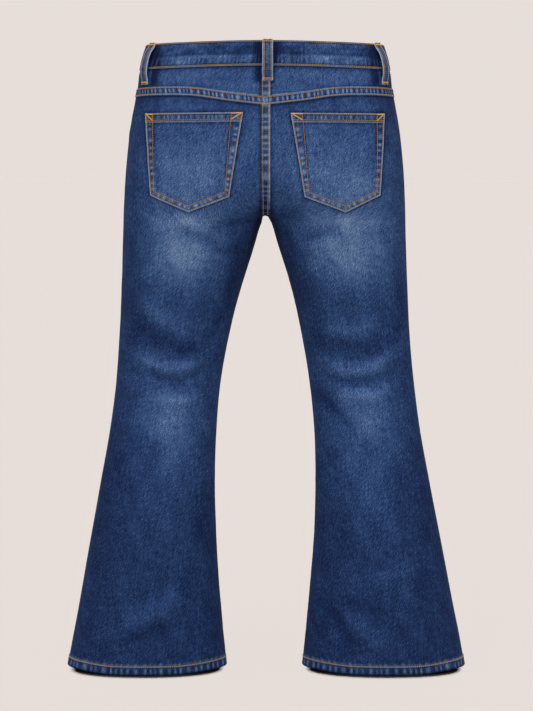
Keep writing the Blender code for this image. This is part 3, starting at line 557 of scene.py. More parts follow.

# %% [markdown]
# ## Where denim fades, and where shade is painted
# Indigo sits on the outside of each yarn and rubs off where the cloth is worn: over the seat, on the
# thighs, in the calves, on the crests of creases and on every thick edge. A painted image could show
# that, but here each point of a mesh carries four numbers instead: wear_and_shade for the broad fading
# together with painted shade, rub for edges that have gone pale, rope for how much a seam puckers, and
# along for the distance along that seam. The painted shade darkens the troughs of creases, the sides,
# the inside legs, the fork, and the cloth beside seams, rows of stitches, loops and pockets. The
# material turns them into colour.

# %% Fading and painted shade tables
BASE_WEAR = table(
    ("height", "wear_and_shade"),
    (0.00, 0.10),
    (0.10, 0.13),
    (0.25, 0.20),
    (0.35, 0.27),
    (0.42, 0.37),
    (0.50, 0.34),
    (0.56, 0.30),
    (0.64, 0.38),
    (0.72, 0.45),
    (0.80, 0.44),
    (0.88, 0.42),
    (0.935, 0.36),
    (1.01, 0.36),
)
FADES = {
    "back": table(
        ("side", "across", "height", "wide", "tall", "amount"),
        ("both", 0.115, 0.790, 0.072, 0.055, 0.26),
        ("both", 0.132, 0.675, 0.056, 0.055, 0.38),
        ("left", 0.155, 0.360, 0.042, 0.085, 0.24),
        ("right", 0.178, 0.350, 0.050, 0.095, 0.22),
        ("both", 0.050, 0.850, 0.040, 0.080, 0.04),
        ("both", 0.110, 0.948, 0.075, 0.016, 0.10),
        ("both", 0.050, 0.930, 0.040, 0.010, 0.08),
        ("both", 0.120, 0.727, 0.050, 0.014, 0.26),
        ("both", 0.145, 0.412, 0.036, 0.026, 0.16),
        ("left", 0.160, 0.490, 0.050, 0.030, 0.03),
        ("right", 0.188, 0.690, 0.034, 0.080, 0.09),
        ("left", 0.195, 0.720, 0.030, 0.110, -0.07),
        ("left", 0.119, 0.680, 0.045, 0.042, 0.06),
        ("both", 0.129, 0.595, 0.055, 0.030, -0.04),
        ("right", 0.129, 0.595, 0.055, 0.030, -0.03),
        ("both", 0.115, 0.858, 0.060, 0.016, -0.06),
    ),
    "front": table(
        ("side", "across", "height", "wide", "tall", "amount"),
        ("both", 0.115, 0.640, 0.055, 0.130, 0.38),
        ("both", 0.130, 0.480, 0.050, 0.070, 0.20),
        ("both", 0.155, 0.380, 0.045, 0.080, 0.16),
        ("both", 0.070, 0.860, 0.060, 0.060, 0.12),
    ),
}
SIDE_DARKNESS = 0.26  # painted shade towards the side seam, where the cloth turns from the lamps, and less fading there, where it is hardly rubbed
INNER_DARKNESS = 0.26  # and painted shade towards the inside leg, between the legs
INNER_WIDTH = 0.062  # how far from the inside leg that goes
FOLD_WEAR_AND_SHADE = 72.0  # tone for each metre that a crease stands up or sinks: crests paler from wear, troughs darker from painted shade
TALLEST_FOLD = 0.0045  # past which a crease fades or darkens no further


def wear_and_shade_of(face, points, fold):
    """Fading and painted shade at points of a face: the tables, sides darker from painted shade and less
    rubbing, painted shade at the inside legs and the fork, pale crests and painted shade in troughs.
    """
    across, height = np.abs(points[..., 0]), points[..., 2]
    wear_and_shade = smooth_value(BASE_WEAR, "wear_and_shade", height)
    fades = FADES[face]
    for n, amount in enumerate(fades["amount"]):
        spot = ((across - fades["across"][n]) / fades["wide"][n]) ** 2
        spot = spot + ((height - fades["height"][n]) / fades["tall"][n]) ** 2
        here = {"both": 1.0, "left": points[..., 0] > 0, "right": points[..., 0] < 0}[fades["side"][n]]
        wear_and_shade = wear_and_shade + amount * np.exp(-spot) * here
    # Painted shade: the sides, which turn from the lamps, darker, partly also as less faded cloth, and the
    # inside legs darker where the legs face each other.
    reach = across / smooth_value(SECTIONS, "side", height)
    gap = smooth_value(INSIDE_LEG, "gap", height)
    inner = ease((INNER_WIDTH - across + gap) / INNER_WIDTH) * ease((0.76 - height) / 0.06)
    inner = inner * (0.40 + near(height - 0.65, 0.065))
    outer = ease((reach - 0.70) / 0.30) * ease((0.99 - height) / 0.05)
    outer = outer * (0.35 + 0.65 * ease((height - 0.08) / 0.25))
    outer = outer * (1 - 0.35 * near(height - 0.525, 0.045))
    from_fork = np.hypot(across, height - CROTCH_HEIGHT)
    wear_and_shade = wear_and_shade - SIDE_DARKNESS * outer - INNER_DARKNESS * inner
    # Painted shade beside the gap between the legs and round the fork.
    beside_opening = near(across - gap, 0.0055) * near(height - 0.705, 0.040)
    wear_and_shade = wear_and_shade - 0.55 * near(from_fork, 0.012) - 0.14 * near(from_fork, 0.060)
    wear_and_shade = wear_and_shade - 0.55 * beside_opening
    # Crests of creases paler from wear, their troughs darker from painted shade.
    return wear_and_shade + FOLD_WEAR_AND_SHADE * np.clip(fold, -TALLEST_FOLD, TALLEST_FOLD)


print("wear runs from about 0, dark, to 1, pale")

# %% [markdown]
# ## Denim
# Denim is a twill: blue warp yarns run down the leg and cross over pale weft yarns in steps, so fine
# diagonal lines show close up, and thick and thin yarns make faint streaks. All of it follows the
# cloth, so the nodes read the cloth's own UV map, which is in metres. An image texture would be
# simpler but blurs close up. Noise stretched along each yarn gives streaks at any distance.

# %% Denim materials
def wire(tree, kind, inputs=None, **settings):
    """A new node with its settings and inputs, where an input is a value or another node's output."""
    made = tree.nodes.new(kind)
    for key, value in settings.items():
        setattr(made, key, value)
    for key, value in (inputs or {}).items():
        if isinstance(value, bpy.types.NodeSocket):
            tree.links.new(value, made.inputs[key])
        else:
            made.inputs[key].default_value = value
    return made


def calculate(tree, operation, *values):
    """The result of a Math node, where a value is a number or another node's output."""
    made = wire(tree, "ShaderNodeMath", operation=operation)
    for n, value in enumerate(values):
        if isinstance(value, bpy.types.NodeSocket):
            tree.links.new(value, made.inputs[n])
        else:
            made.inputs[n].default_value = value
    return made.outputs[0]


def yarn_noise(tree, uv, size, turn=0.0, detail=2.0):
    """Noise whose lumps have a size across and along the cloth, in metres, and a turn."""
    placed = wire(
        tree,
        "ShaderNodeMapping",
        {"Vector": uv, "Scale": (*size, 1.0), "Rotation": (0.0, 0.0, turn)},
        vector_type="TEXTURE",
    )
    given = {"Vector": placed.outputs[0], "Scale": 1.0, "Detail": detail}
    return wire(tree, "ShaderNodeTexNoise", given).outputs[0]


DENIM_TONES = (
    (-0.35, (0.0028, 0.0078, 0.0330, 1.0)),
    (0.00, (0.0058, 0.0160, 0.0600, 1.0)),
    (0.25, (0.0135, 0.0345, 0.1080, 1.0)),
    (0.50, (0.0280, 0.0670, 0.1830, 1.0)),
    (0.75, (0.0600, 0.1180, 0.2620, 1.0)),
    (1.00, (0.1200, 0.2000, 0.3600, 1.0)),
    (1.35, (0.2600, 0.3600, 0.5100, 1.0)),
)
LOWEST_TONE, HIGHEST_TONE = -0.35, 1.35
PALE_EDGE = (0.27, 0.38, 0.52, 1.0)
INSIDE_TONES = ((-0.35, (0.08, 0.115, 0.18, 1.0)), (1.35, (0.30, 0.35, 0.42, 1.0)))
PUCKER = 0.0077  # usual distance between two puckers
RIGHT_HAND_TWILL = math.radians(-30)


def puckers(tree, along):
    """Uneven stripes across a seam, from -1 to 1, at places given by the distance along it."""
    jitter, size = (
        wire(tree, "ShaderNodeTexNoise", {"W": along, "Scale": scale, "Detail": 0.0}, noise_dimensions="1D")
        for scale in (48.0, 100.0)
    )
    even = calculate(tree, "MULTIPLY", along, 1 / PUCKER)
    turns = calculate(tree, "MULTIPLY_ADD", jitter.outputs[0], 1.5, even)
    stripe = calculate(tree, "SINE", calculate(tree, "MULTIPLY", turns, 2 * math.pi))
    strength = calculate(tree, "MULTIPLY_ADD", size.outputs[0], 1.3, 0.25)
    return calculate(tree, "MULTIPLY", stripe, strength)


def tinted(tree, tone, tones):
    """The colour of a tone, by a ramp through the given tones."""
    spread = 1 / (HIGHEST_TONE - LOWEST_TONE)
    place = calculate(tree, "MULTIPLY_ADD", tone, spread, -LOWEST_TONE * spread)
    ramp = wire(tree, "ShaderNodeValToRGB", {"Fac": place})
    stops = ramp.color_ramp.elements
    while len(stops) < len(tones):
        stops.new(0.5)
    for stop, (at, colour) in zip(stops, tones, strict=True):
        stop.position, stop.color = (at - LOWEST_TONE) * spread, colour
    return ramp.outputs[0]


def denim(name, tones):
    """Denim, from dark and pale tones: yarns, twill and puckers over the wear and painted shade of each
    point.
    """
    made = material(name, {"Roughness": 0.95, "Specular IOR Level": 0.08})
    tree = made.node_tree
    shader = tree.nodes["Principled BSDF"]
    uv = wire(tree, "ShaderNodeUVMap", uv_map="cloth").outputs[0]
    wear_and_shade, rub, rope, along = (
        wire(tree, "ShaderNodeAttribute", attribute_name=key).outputs["Fac"]
        for key in ("wear_and_shade", "rub", "rope", "along")
    )
    warp = yarn_noise(tree, uv, (0.0024, 0.0300), detail=2.0)
    weft = yarn_noise(tree, uv, (0.0300, 0.0022), detail=2.0)
    cloud = yarn_noise(tree, uv, (0.0260, 0.0420), detail=4.0)
    grain = yarn_noise(tree, uv, (0.0014, 0.0085), RIGHT_HAND_TWILL, 1.0)
    speckle = yarn_noise(tree, uv, (0.0013, 0.0018), RIGHT_HAND_TWILL, 1.0)
    turn = {"Vector": uv, "Rotation": (0.0, 0.0, RIGHT_HAND_TWILL)}
    turned = wire(tree, "ShaderNodeMapping", turn, vector_type="TEXTURE").outputs[0]
    lines = {"Vector": turned, "Scale": 330.0, "Distortion": 1.0, "Detail": 1.0, "Detail Scale": 2.0}
    twill = wire(tree, "ShaderNodeTexWave", lines, bands_direction="X").outputs["Fac"]
    roped = calculate(tree, "MULTIPLY", puckers(tree, along), rope)
    tone = calculate(tree, "MULTIPLY_ADD", roped, 0.26, wear_and_shade)
    yarns = ((grain, 1.10), (speckle, 1.20), (warp, 0.40), (weft, 0.12), (cloud, 0.50), (twill, 0.08))
    for part, amount in yarns:
        centred = calculate(tree, "SUBTRACT", part, 0.5)
        tone = calculate(tree, "MULTIPLY_ADD", centred, amount, tone)
    patchy = calculate(tree, "MULTIPLY_ADD", grain, 1.4, 0.25)
    crests = calculate(tree, "MAXIMUM", calculate(tree, "MULTIPLY", roped, 0.30), 0.0)
    pale = calculate(tree, "MULTIPLY", calculate(tree, "ADD", rub, crests), patchy)
    pale = wire(tree, "ShaderNodeClamp", {"Value": pale}).outputs[0]
    mixed = wire(tree, "ShaderNodeMix", {"Factor": pale, "B": PALE_EDGE}, data_type="RGBA")
    tree.links.new(tinted(tree, tone, tones), mixed.inputs["A"])
    tree.links.new(mixed.outputs["Result"], shader.inputs["Base Color"])
    relief_height = calculate(tree, "MULTIPLY_ADD", twill, 0.3, calculate(tree, "MULTIPLY", grain, 0.7))
    relief_height = calculate(tree, "MULTIPLY_ADD", warp, 0.5, relief_height)
    relief_height = calculate(tree, "MULTIPLY_ADD", roped, 0.55, relief_height)
    bump = wire(tree, "ShaderNodeBump", {"Height": relief_height, "Strength": 0.8, "Distance": 0.0006})
    tree.links.new(bump.outputs[0], shader.inputs["Normal"])
    return made


DENIM = denim("denim", DENIM_TONES)
DENIM_INSIDE = denim("denim inside", INSIDE_TONES)
print("materials:", DENIM.name, "and", DENIM_INSIDE.name)

# %% [markdown]
# ## Making pieces
# Every cloth piece is a closed wall: an outer sheet, an inner one, and a rim that joins them. The
# outside shows indigo and the inside the paler weft, so the two get different materials. One helper
# makes a wall between two grids of points, and one sweeps a closed outline along a path, as for the
# waistband and the hems.

# %% Mesh helpers
CUTS = {}  # the flat width, length and area of each cloth piece


def lowered(points):
    """Points from heights above the hems to the frame's, which start at the waist."""
    return points - np.array([0.0, 0.0, HELD_HEIGHT])


def looks_of(shape, wear_and_shade, rub=0.0, rope=0.0, along=0.0):
    """The four numbers that the denim material reads at each point of a grid."""
    given = {"wear_and_shade": wear_and_shade, "rub": rub, "rope": rope, "along": along}
    return {key: np.broadcast_to(np.asarray(value, float), shape) for key, value in given.items()}


def add_cloth(name, points, faces, uv, looks, inside, cut):
    """A cloth piece in place of the node of its name. Cut is its flat width, length and area."""
    mesh = bpy.data.meshes.new(name)
    mesh.from_pydata(lowered(points).tolist(), [], faces.tolist())
    mesh.uv_layers.new(name="cloth").data.foreach_set("uv", np.asarray(uv, float).ravel())
    for key, values in looks.items():
        numbers = mesh.attributes.new(key, "FLOAT", "POINT").data
        numbers.foreach_set("value", np.array(values, float).ravel())
    for cloth in (DENIM, DENIM_INSIDE):
        mesh.materials.append(cloth)
    mesh.polygons.foreach_set("material_index", np.asarray(inside, int))
    mesh.shade_smooth()
    mesh.set_sharp_from_angle(angle=math.radians(65))
    made = in_scene(name, mesh)
    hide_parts(name)
    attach(made, "root")
    CUTS[name] = cut
    print(f"{name}: {len(faces)} faces, {cut[0] * 1000:.0f} x {cut[1] * 1000:.0f} mm flat")
    return made


def area_of(grid):
    """A grid's area, from the diagonals of its cells."""
    first, second = grid[1:, 1:] - grid[:-1, :-1], grid[1:, :-1] - grid[:-1, 1:]
    return float(np.linalg.norm(np.cross(first, second), axis=2).sum() / 2)


def cloth_wall(name, outer, inner, uv, looks):
    """A closed wall between two grids of points, the outside and the inside."""
    rows, columns = outer.shape[:2]
    count = rows * columns
    index = np.arange(count).reshape(rows, columns)
    sheet = np.stack([index[:-1, :-1], index[:-1, 1:], index[1:, 1:], index[1:, :-1]], -1).reshape(-1, 4)
    middle = len(sheet) // 2 + columns // 2
    a, b, c = outer.reshape(-1, 3)[sheet[middle][:3]]
    out = a - inner.reshape(-1, 3)[sheet[middle][0]]
    rim = np.concatenate([index[0, :-1], index[:-1, -1], index[-1, :0:-1], index[:0:-1, 0]])
    after = np.roll(rim, -1)
    edge = np.stack([rim, after, after + count, rim + count], -1)
    if np.cross(b - a, c - b) @ out < 0:
        sheet = sheet[:, ::-1]
    else:
        edge = edge[:, ::-1]
    faces = np.concatenate([sheet, sheet[:, ::-1] + count, edge])
    points = np.concatenate([outer.reshape(-1, 3), inner.reshape(-1, 3)])
    both = np.concatenate([uv.reshape(-1, 2), uv.reshape(-1, 2)])
    inside = np.concatenate([np.zeros(len(sheet)), np.ones(len(sheet)), np.zeros(len(edge))])
    span = np.ptp(uv.reshape(-1, 2), axis=0)
    cut = (float(span[0]), float(span[1]), min(area_of(outer), float(span[0] * span[1])))
    doubled = {key: np.concatenate([values.ravel(), values.ravel()]) for key, values in looks.items()}
    return add_cloth(name, points, faces, both[faces], doubled, inside, cut)


def cloth_band(name, sections, along, around, looks, visible, closed, cut):
    """Closed outlines swept along a path. The first visible corners of each are the outside."""
    stations, corners = sections.shape[:2]
    index = np.arange(stations * corners).reshape(stations, corners)
    ahead = np.roll(index, -1, axis=0) if closed else index[1:]
    index = index if closed else index[:-1]
    beside, ahead_beside = np.roll(index, -1, axis=1), np.roll(ahead, -1, axis=1)
    faces = np.stack([index, ahead, ahead_beside, beside], -1)
    u = np.append(along, along[-1] + along[1] - along[0]) if closed else along
    v = np.append(around, around[-1] + 0.001)
    i, j = np.meshgrid(np.arange(faces.shape[0]), np.arange(corners), indexing="ij")
    uv = np.stack([np.stack([u[i + a], v[j + b]], -1) for a, b in ((0, 0), (1, 0), (1, 1), (0, 1))], 2)
    inside = np.where(j < visible - 1, 0, 1).ravel()
    flat = sections.reshape(-1, 3)
    middle = visible // 2
    a, b, c = flat[faces[0, middle][:3]]
    if np.cross(b - a, c - b) @ (a - sections[0, (visible + corners) // 2]) < 0:
        faces, uv = faces[..., ::-1], uv[:, :, ::-1]
    faces, uv = faces.reshape(-1, 4), uv.reshape(-1, 4, 2)
    if not closed:
        faces, uv, inside = with_ends(faces, uv, inside, index[0], ahead[-1])
    return add_cloth(name, flat, faces, uv, looks, inside, cut)


def with_ends(faces, uv, inside, first, last):
    """Closes both ends of a swept piece with quads across its outline."""
    ends = []
    count = len(first)
    for k in range(count // 2 - 1):
        ends.append([first[k], first[k + 1], first[count - 2 - k], first[count - 1 - k]])
        ends.append([last[count - 1 - k], last[count - 2 - k], last[k + 1], last[k]])
    ends = np.array(ends)
    edge_order = faces[0].tolist()
    place = edge_order.index(first[0])
    if edge_order[(place + 1) % 4] == first[1]:
        ends = ends[:, ::-1]
    more_uv = np.zeros((len(ends), 4, 2)) + uv[0, 0]
    inside = np.concatenate([inside, np.zeros(len(ends))])
    return np.concatenate([faces, ends]), np.concatenate([uv, more_uv]), inside


def steps(*stretches):
    """Positions along a line from (start, end, step) stretches, each ending where the next begins."""
    found = [np.array([stretches[0][0]])]
    for start, end, step in stretches:
        count = max(1, round(abs(end - start) / step))
        found.append(np.linspace(start, end, count + 1)[1:])
    return np.concatenate(found)


print("helpers ready")

# %% [markdown]
# ## Seams stand up and pucker
# A felled seam has four layers of denim, so it stands up from the cloth beside it. The stitching
# pulls it short, and the cloth between the rows puckers into a rope of small bumps, whose tops rub
# pale. The bumps are only about 8 mm apart, so the material makes them: each point carries how much
# rope it has and its distance along the seam. The steps beside a seam are real relief in the mesh,
# and the dark lines beside seams and along rows of stitches are painted shade.

# %% Seam relief
INSEAM_WIDTH = 0.0105
INSEAM_ROW = 0.0085  # from the inside leg to its row of stitches
INSEAM_RISE = 0.0007
OUTSEAM_WIDTH = 0.0100
OUTSEAM_RISE = 0.0003
SECOND_ROW = 0.0110  # from an edge to the second row beside it
SLANT = 0.72  # distance along a seam to the distance that its puckers are counted in
FIRST_ROW = 0.0020  # usual distance from an edge to its row of stitches
TUCK = 0.0020  # how far a panel runs on into the seam that holds it
SEAT_EDGE_RUB = {"left": 0.16, "right": 0.75}  # the felled seam's open edge lies on the right
# A pocket's corners, as distances from the centre and heights, from its inner top corner round.
POCKET = table(
    ("left", "right"),
    ((0.0340, 0.8962), (0.0400, 0.8950)),
    ((0.0558, 0.7665), (0.0620, 0.7665)),
    ((0.1189, 0.7425), (0.1259, 0.7425)),
    ((0.1775, 0.7680), (0.1793, 0.7680)),
    ((0.1855, 0.8942), (0.1858, 0.8940)),
)


def waist_top(face, share):
    return WAIST_TOP["side"] + (WAIST_TOP[face] - WAIST_TOP["side"]) * ease(share)


def waist_seam(face, share):
    return waist_top(face, share) - BAND_DEPTH


def yoke_seam(share):
    return smooth_value(YOKE_SEAM, "height", (1 - share) * BACK_ROW, key="from_centre")


def to_segments(across, height, corners):
    """Distance to a line through corners, and the distance along the line to the nearest place."""
    here = np.stack([across, height], -1)
    best, along, walked = np.full(across.shape, 1.0), np.zeros(across.shape), 0.0
    for start, end in zip(corners[:-1], corners[1:], strict=True):
        way = end - start
        t = np.clip(((here - start) @ way) / (way @ way), 0, 1)
        distance = np.linalg.norm(here - start - t[..., None] * way, axis=-1)
        long = float(np.linalg.norm(way))
        along = np.where(distance < best, walked + t * long, along)
        best = np.minimum(best, distance)
        walked += long
    return best, along


def on_seat(height):
    """0 on the legs and 1 above the fork, where the centre seam runs."""
    return ease((height - CROTCH_ROW - 0.002) / 0.010)


def leg_seams(face, height, share):
    """The relief of the inside leg, the side seam and the hem's edge, as relief() gives it."""
    length = row_length(face, height)
    from_side, from_centre = share * length, (1 - share) * length
    inside_leg = (1 - on_seat(height)) * float(face == "front")
    inseam = inside_leg * (1 - ease((from_centre - INSEAM_WIDTH) / 0.0014))
    rise = INSEAM_RISE * inseam
    rope = 0.6 * inseam
    rub = 0.34 * inside_leg * near(from_centre - INSEAM_WIDTH, 0.0014)
    # Painted shade beside the inside leg's seam.
    shade = -0.12 * inside_leg * near(from_centre - INSEAM_WIDTH - 0.003, 0.002)
    rise = rise + OUTSEAM_RISE * (1 - ease((from_side - OUTSEAM_WIDTH) / 0.003))
    rise = rise - 0.00045 * near(from_side, 0.0016)
    rope = rope + 0.35 * near(from_side - OUTSEAM_WIDTH * 0.6, 0.005)
    rub = rub + 0.08 * near(from_side - OUTSEAM_WIDTH, 0.003)
    above_hem = height - HEM_DEPTH
    rope = rope + 0.40 * near(above_hem - 0.0012, 0.0028)
    rub = rub + 0.12 * near(above_hem - 0.0010, 0.0016)
    return rise, rub, shade, rope, SLANT * np.where(above_hem < 0.012, from_side, height)


def relief(side, face, height, share):
    """A panel's seams: how far they raise it, and its rub, painted shade, rope and distance along a seam.
    """
    height, share = np.broadcast_arrays(np.asarray(height, float), np.asarray(share, float))
    rise, rub, shade, rope, along = leg_seams(face, height, share)
    if face == "front":
        return rise, rub, shade, rope, along
    fell, over_fork = SEAT_FELL[side], on_seat(height)
    from_middle = between(SURFACE[face]["points"], height, share)[..., 0]
    from_centre = (1 - share) * row_length(face, height)
    seat = over_fork * (1 - ease((from_middle - fell) / FELL_SLOPE))
    rise = np.maximum(rise, seat * FELL_RISE)
    edge = SEAT_EDGE_RUB[side] * ease((height - 0.740) / 0.040)
    rub = rub + over_fork * edge * near(from_middle - fell + 0.0003, 0.0008)
    rope = rope + 0.85 * seat
    # Painted shade in the groove of the seat's row of stitches and beside the edge of its felled seam.
    shade = shade - 0.50 * over_fork * near(from_middle - SEAT_ROW[side], 0.0013)
    shade = shade - 0.30 * over_fork * near(from_middle - fell - 0.0022, 0.0020) + 0.06 * seat
    under = yoke_seam(share) - height
    band = np.where(under > -1e-9, 1.0, 0.0) * (1 - ease((under - YOKE_FELL) / FELL_SLOPE))
    rise = np.maximum(rise, band * FELL_RISE)
    on_band = near(under - 0.0066, 0.0042) * band
    rope = np.maximum(rope * (1 - band), 1.15 * on_band)
    sign = 1 if side == "left" else -1
    along = np.where(band > 0.01, sign * from_centre + 0.12 * under, along)
    edges = 0.50 * near(under, 0.0010) + 0.62 * near(under - YOKE_FELL + 0.0004, 0.0008)
    rub = rub * (1 - 0.6 * band) + band * edges
    # Painted shade in the grooves of the yoke seam's rows, and a painted shadow under its raised lower
    # edge.
    rows = near(under - FIRST_ROW, 0.0013) + near(under - 0.0108, 0.0013)
    shade = shade - 0.60 * band * rows + 0.08 * band
    below = under - YOKE_FELL
    shade = shade - 0.42 * near(below - 0.0022, 0.0017) - 0.10 * near(below - 0.006, 0.006)
    crossing = near(from_centre, 0.0060) * near(under - 0.0070, 0.0080)
    return rise, rub + 0.30 * crossing, shade, rope, along


def pocket_shadow(side, across, height):
    """Painted shade on the back round a pocket's edge, in the corner where the pocket stands off the cloth.
    """
    corners = np.array(POCKET[side])
    distance, _ = to_segments(across, height, [*corners, corners[0]])
    return -0.38 * near(distance, 0.0030) - 0.06 * near(distance, 0.0090)


print("yoke seam", round(YOKE_FELL * 1000, 1), "mm wide, raised", round(FELL_RISE * 1000, 1), "mm")

# %% [markdown]
# ## Legs and yoke
# Each leg is a back and a front panel, and the yoke is the shaped piece above the back panels that
# gives the seat its curve without darts. The grid has narrow rows and columns beside each seam,
# where the relief changes within a millimetre, and wider ones elsewhere. An even grid fine enough
# for the seams would have ten times the faces.

# %% Panels
SIDE_LOOP = 0.187  # from the centre seam to the middle of a side loop
PANEL_REACH = 0.93  # about the height where back and front panels end, to count their rows from


def kept_off_centre(points, side):
    """Points moved back to the centre where they would lie on the other side of it."""
    sign = 1 if side == "left" else -1
    points = points.copy()
    points[..., 0] = sign * np.maximum(sign * points[..., 0], 0.0)
    return points


def turned_out(side, face):
    """1 where shares run to the right seen from outside, and -1 where they run to the left."""
    return 1 if (side == "left") == (face == "back") else -1


def panel(name, side, face, height, share, extra_rub=0.0, extra_rise=0.0, shade_more=0.0):
    """A wall of one layer of cloth, from the sheet coordinates of its grid points."""
    points, normals, fold = cloth_at(side, face, height, share)
    rise, rub, shade, rope, along = relief(side, face, height, share)
    outer = kept_off_centre(points + normals * (rise + extra_rise)[..., None], side)
    inner = kept_off_centre(points - normals * CLOTH, side)
    if name.startswith("back_leg"):
        shade = shade + pocket_shadow(side, np.abs(points[..., 0]), points[..., 2])
    wear_and_shade = wear_and_shade_of(face, points, fold) + shade + shade_more
    uv = np.stack([turned_out(side, face) * (share - 0.5) * row_length(face, height), height], -1)
    return cloth_wall(name, outer, inner, uv, looks_of(wear_and_shade.shape, wear_and_shade, rub + extra_rub, rope, along))


def across_steps(length, fine_side, fine_centre, middle=0.0034):
    """Shares from the side seam to the middle, with fine columns at both."""
    walk = steps(
        (0.0, fine_side, 0.0020),
        (fine_side, length - fine_centre, middle),
        (length - fine_centre, length, 0.0011),
    )
    return walk / length


def back_panel(side):
    """The back of a leg, from the yoke down to the hem."""
    shares = across_steps(BACK_ROW, 0.014, 0.028)
    top, bottom = yoke_seam(shares), HEM_DEPTH - TUCK
    reach = PANEL_REACH - bottom
    low = reach - 0.020
    down = steps((0, 0.018, 0.0010), (0.018, low, 0.0031), (low, reach, 0.0018)) / reach
    height = top + (bottom - top) * down[:, None]
    share = np.broadcast_to(shares, height.shape)
    return panel(f"back_leg_{side}", side, "back", height, share)


def back_yoke(side):
    """The shaped piece between waistband and back panel, with painted shade beside the loops and seams."""
    shares = across_steps(BACK_ROW, 0.014, 0.012, 0.0030)
    top, bottom = waist_seam("back", shares) + TUCK, yoke_seam(shares) - TUCK
    height = top + (bottom - top) * np.linspace(0, 1, 26)[:, None]
    share = np.broadcast_to(shares, height.shape)
    under_band = waist_seam("back", share) - height
    # A painted shadow just under the waistband, painted shade along the yoke's seam, and painted shadows
    # beside the loops.
    shade = -0.40 * near(under_band, 0.0030) + 0.06 * near(under_band - 0.012, 0.006)
    shade = shade - 0.20 * near(height - yoke_seam(share), 0.0025)
    from_centre = (1 - share) * BACK_ROW
    beside_back = near(np.maximum(from_centre - 0.0120, 0), 0.0045)
    beside_side = near(np.maximum(0.1800 - from_centre, 0), 0.0060) * (from_centre < SIDE_LOOP)
    shade = shade - 0.55 * (beside_back + beside_side) * ease((0.030 - under_band) / 0.010)
    return panel(f"back_yoke_{side}", side, "back", height, share, shade_more=shade)


SCOOP_FROM_CENTRE = 0.122  # where a front pocket's scoop begins at the waist
SCOOP_DEPTH = 0.085  # and how far it comes down at the side
SCOOP_SHARE = 1 - SCOOP_FROM_CENTRE / FRONT_ROW
SCOOP_TURN = 0.0004  # how far its turned edge stands up
FACING_TUCK = 0.012  # how far the facing runs on under the front
FACING_GAP = 0.0010


def scoop_drop(from_centre):
    """How far below the waistband a scoop's edge is."""
    reach = FRONT_ROW - SCOOP_FROM_CENTRE
    t = np.clip((from_centre - SCOOP_FROM_CENTRE) / reach, 0, 1)
    return SCOOP_DEPTH * np.sqrt(1 - (1 - t) ** 2)


def front_top(share):
    return waist_seam("front", share) - scoop_drop((1 - share) * FRONT_ROW)


def front_panel(side):
    """The front of a leg, cut out at the top along the pocket's scoop."""
    scoop = SCOOP_SHARE * (1 - np.linspace(1, 0, 43)[:-1] ** 1.35)
    fine = 1 - 0.012 / FRONT_ROW
    rest = steps((SCOOP_SHARE, fine, 0.0034 / FRONT_ROW), (fine, 1.0, 0.0015 / FRONT_ROW))
    shares = np.concatenate([scoop, rest])
    top, bottom = front_top(shares), HEM_DEPTH - TUCK
    reach = PANEL_REACH - bottom
    low = reach - 0.020
    down = steps((0, 0.012, 0.0015), (0.012, low, 0.0033), (low, reach, 0.0020)) / reach
    height = top + (bottom - top) * down[:, None]
    share = np.broadcast_to(shares, height.shape)
    on_scoop = (share < SCOOP_SHARE) * ease((SCOOP_SHARE - share) / 0.03)
    under = top - height
    rubbed = 0.60 * near(under, 0.0014) * on_scoop
    turned = SCOOP_TURN * (1 - ease((under - 0.009) / 0.002)) * on_scoop
    # Painted shade just under the scoop's turned edge.
    shade = -0.14 * near(under - 0.011, 0.002) * on_scoop
    return panel(f"front_leg_{side}", side, "front", height, share, rubbed, turned, shade)


def pocket_facing(side):
    """The hip piece behind the scoop."""
    edge = 1 - (SCOOP_FROM_CENTRE - FACING_TUCK) / FRONT_ROW
    shares = np.linspace(0, edge, 44)
    top = waist_seam("front", shares)
    bottom = top - scoop_drop((1 - shares) * FRONT_ROW) - FACING_TUCK
    height = top + (bottom - top) * np.linspace(0, 1, 36)[:, None]
    share = np.broadcast_to(shares, height.shape)
    points, normals, fold = cloth_at(side, "front", height, share)
    depth = CLOTH + FACING_GAP
    outer, inner = points - normals * depth, points - normals * (depth + CLOTH)
    uv = np.stack([turned_out(side, "front") * (share - 0.5) * FRONT_ROW, height], -1)
    wear_and_shade = wear_and_shade_of("front", points, fold) - 0.12
    return cloth_wall(f"front_pocket_facing_{side}", outer, inner, uv, looks_of(wear_and_shade.shape, wear_and_shade))


for side in ("left", "right"):
    back_panel(side)
    front_panel(side)
    back_yoke(side)
    pocket_facing(side)

# %% [markdown]
# ## Back pockets
# A patch pocket is one piece with its edges turned under and its top folded twice, so it is thicker
# along its rim. Its corners are known as distances from the centre seam and heights, because that
# is what a photograph shows. A few steps of Newton's method turn those into sheet coordinates.

# %% Back pockets
POCKET_HEM = 0.0134  # depth of the fold along its top
POCKET_TURN = 0.0095  # width of the edge turned under
POINT_SHARE = 0.508  # how far across its point is
# From each corner of the pocket to that of its second row of stitches.
INNER_ROW = ((0.0180, 0.0), (0.0063, 0.0070), (0.0, 0.0094), (-0.0055, 0.0065), (-0.0117, 0.0))


def outer_row(side):
    """Corners of the row round the pocket's rim, just inside its edge."""
    corners, lines = np.array(POCKET[side]), []
    middle = np.mean(corners, axis=0)
    for start, end in zip(corners[:-1], corners[1:], strict=True):
        out = np.array([end[1] - start[1], start[0] - end[0]])
        out = out / np.linalg.norm(out) * np.sign(out @ (start - middle))
        lines.append((start - out * FIRST_ROW, end - start))
    moved = [lines[0][0]]
    for (point, way), (other, turn) in zip(lines[:-1], lines[1:], strict=True):
        t = np.linalg.solve(np.array([way, -turn]).T, other - point)[0]
        moved.append(point + way * t)
    return [*moved, lines[-1][0] + lines[-1][1]]


def inner_row(side):
    """Corners of the second row, which stands further in at the pocket's top."""
    return list(np.array(POCKET[side]) + np.array(INNER_ROW))


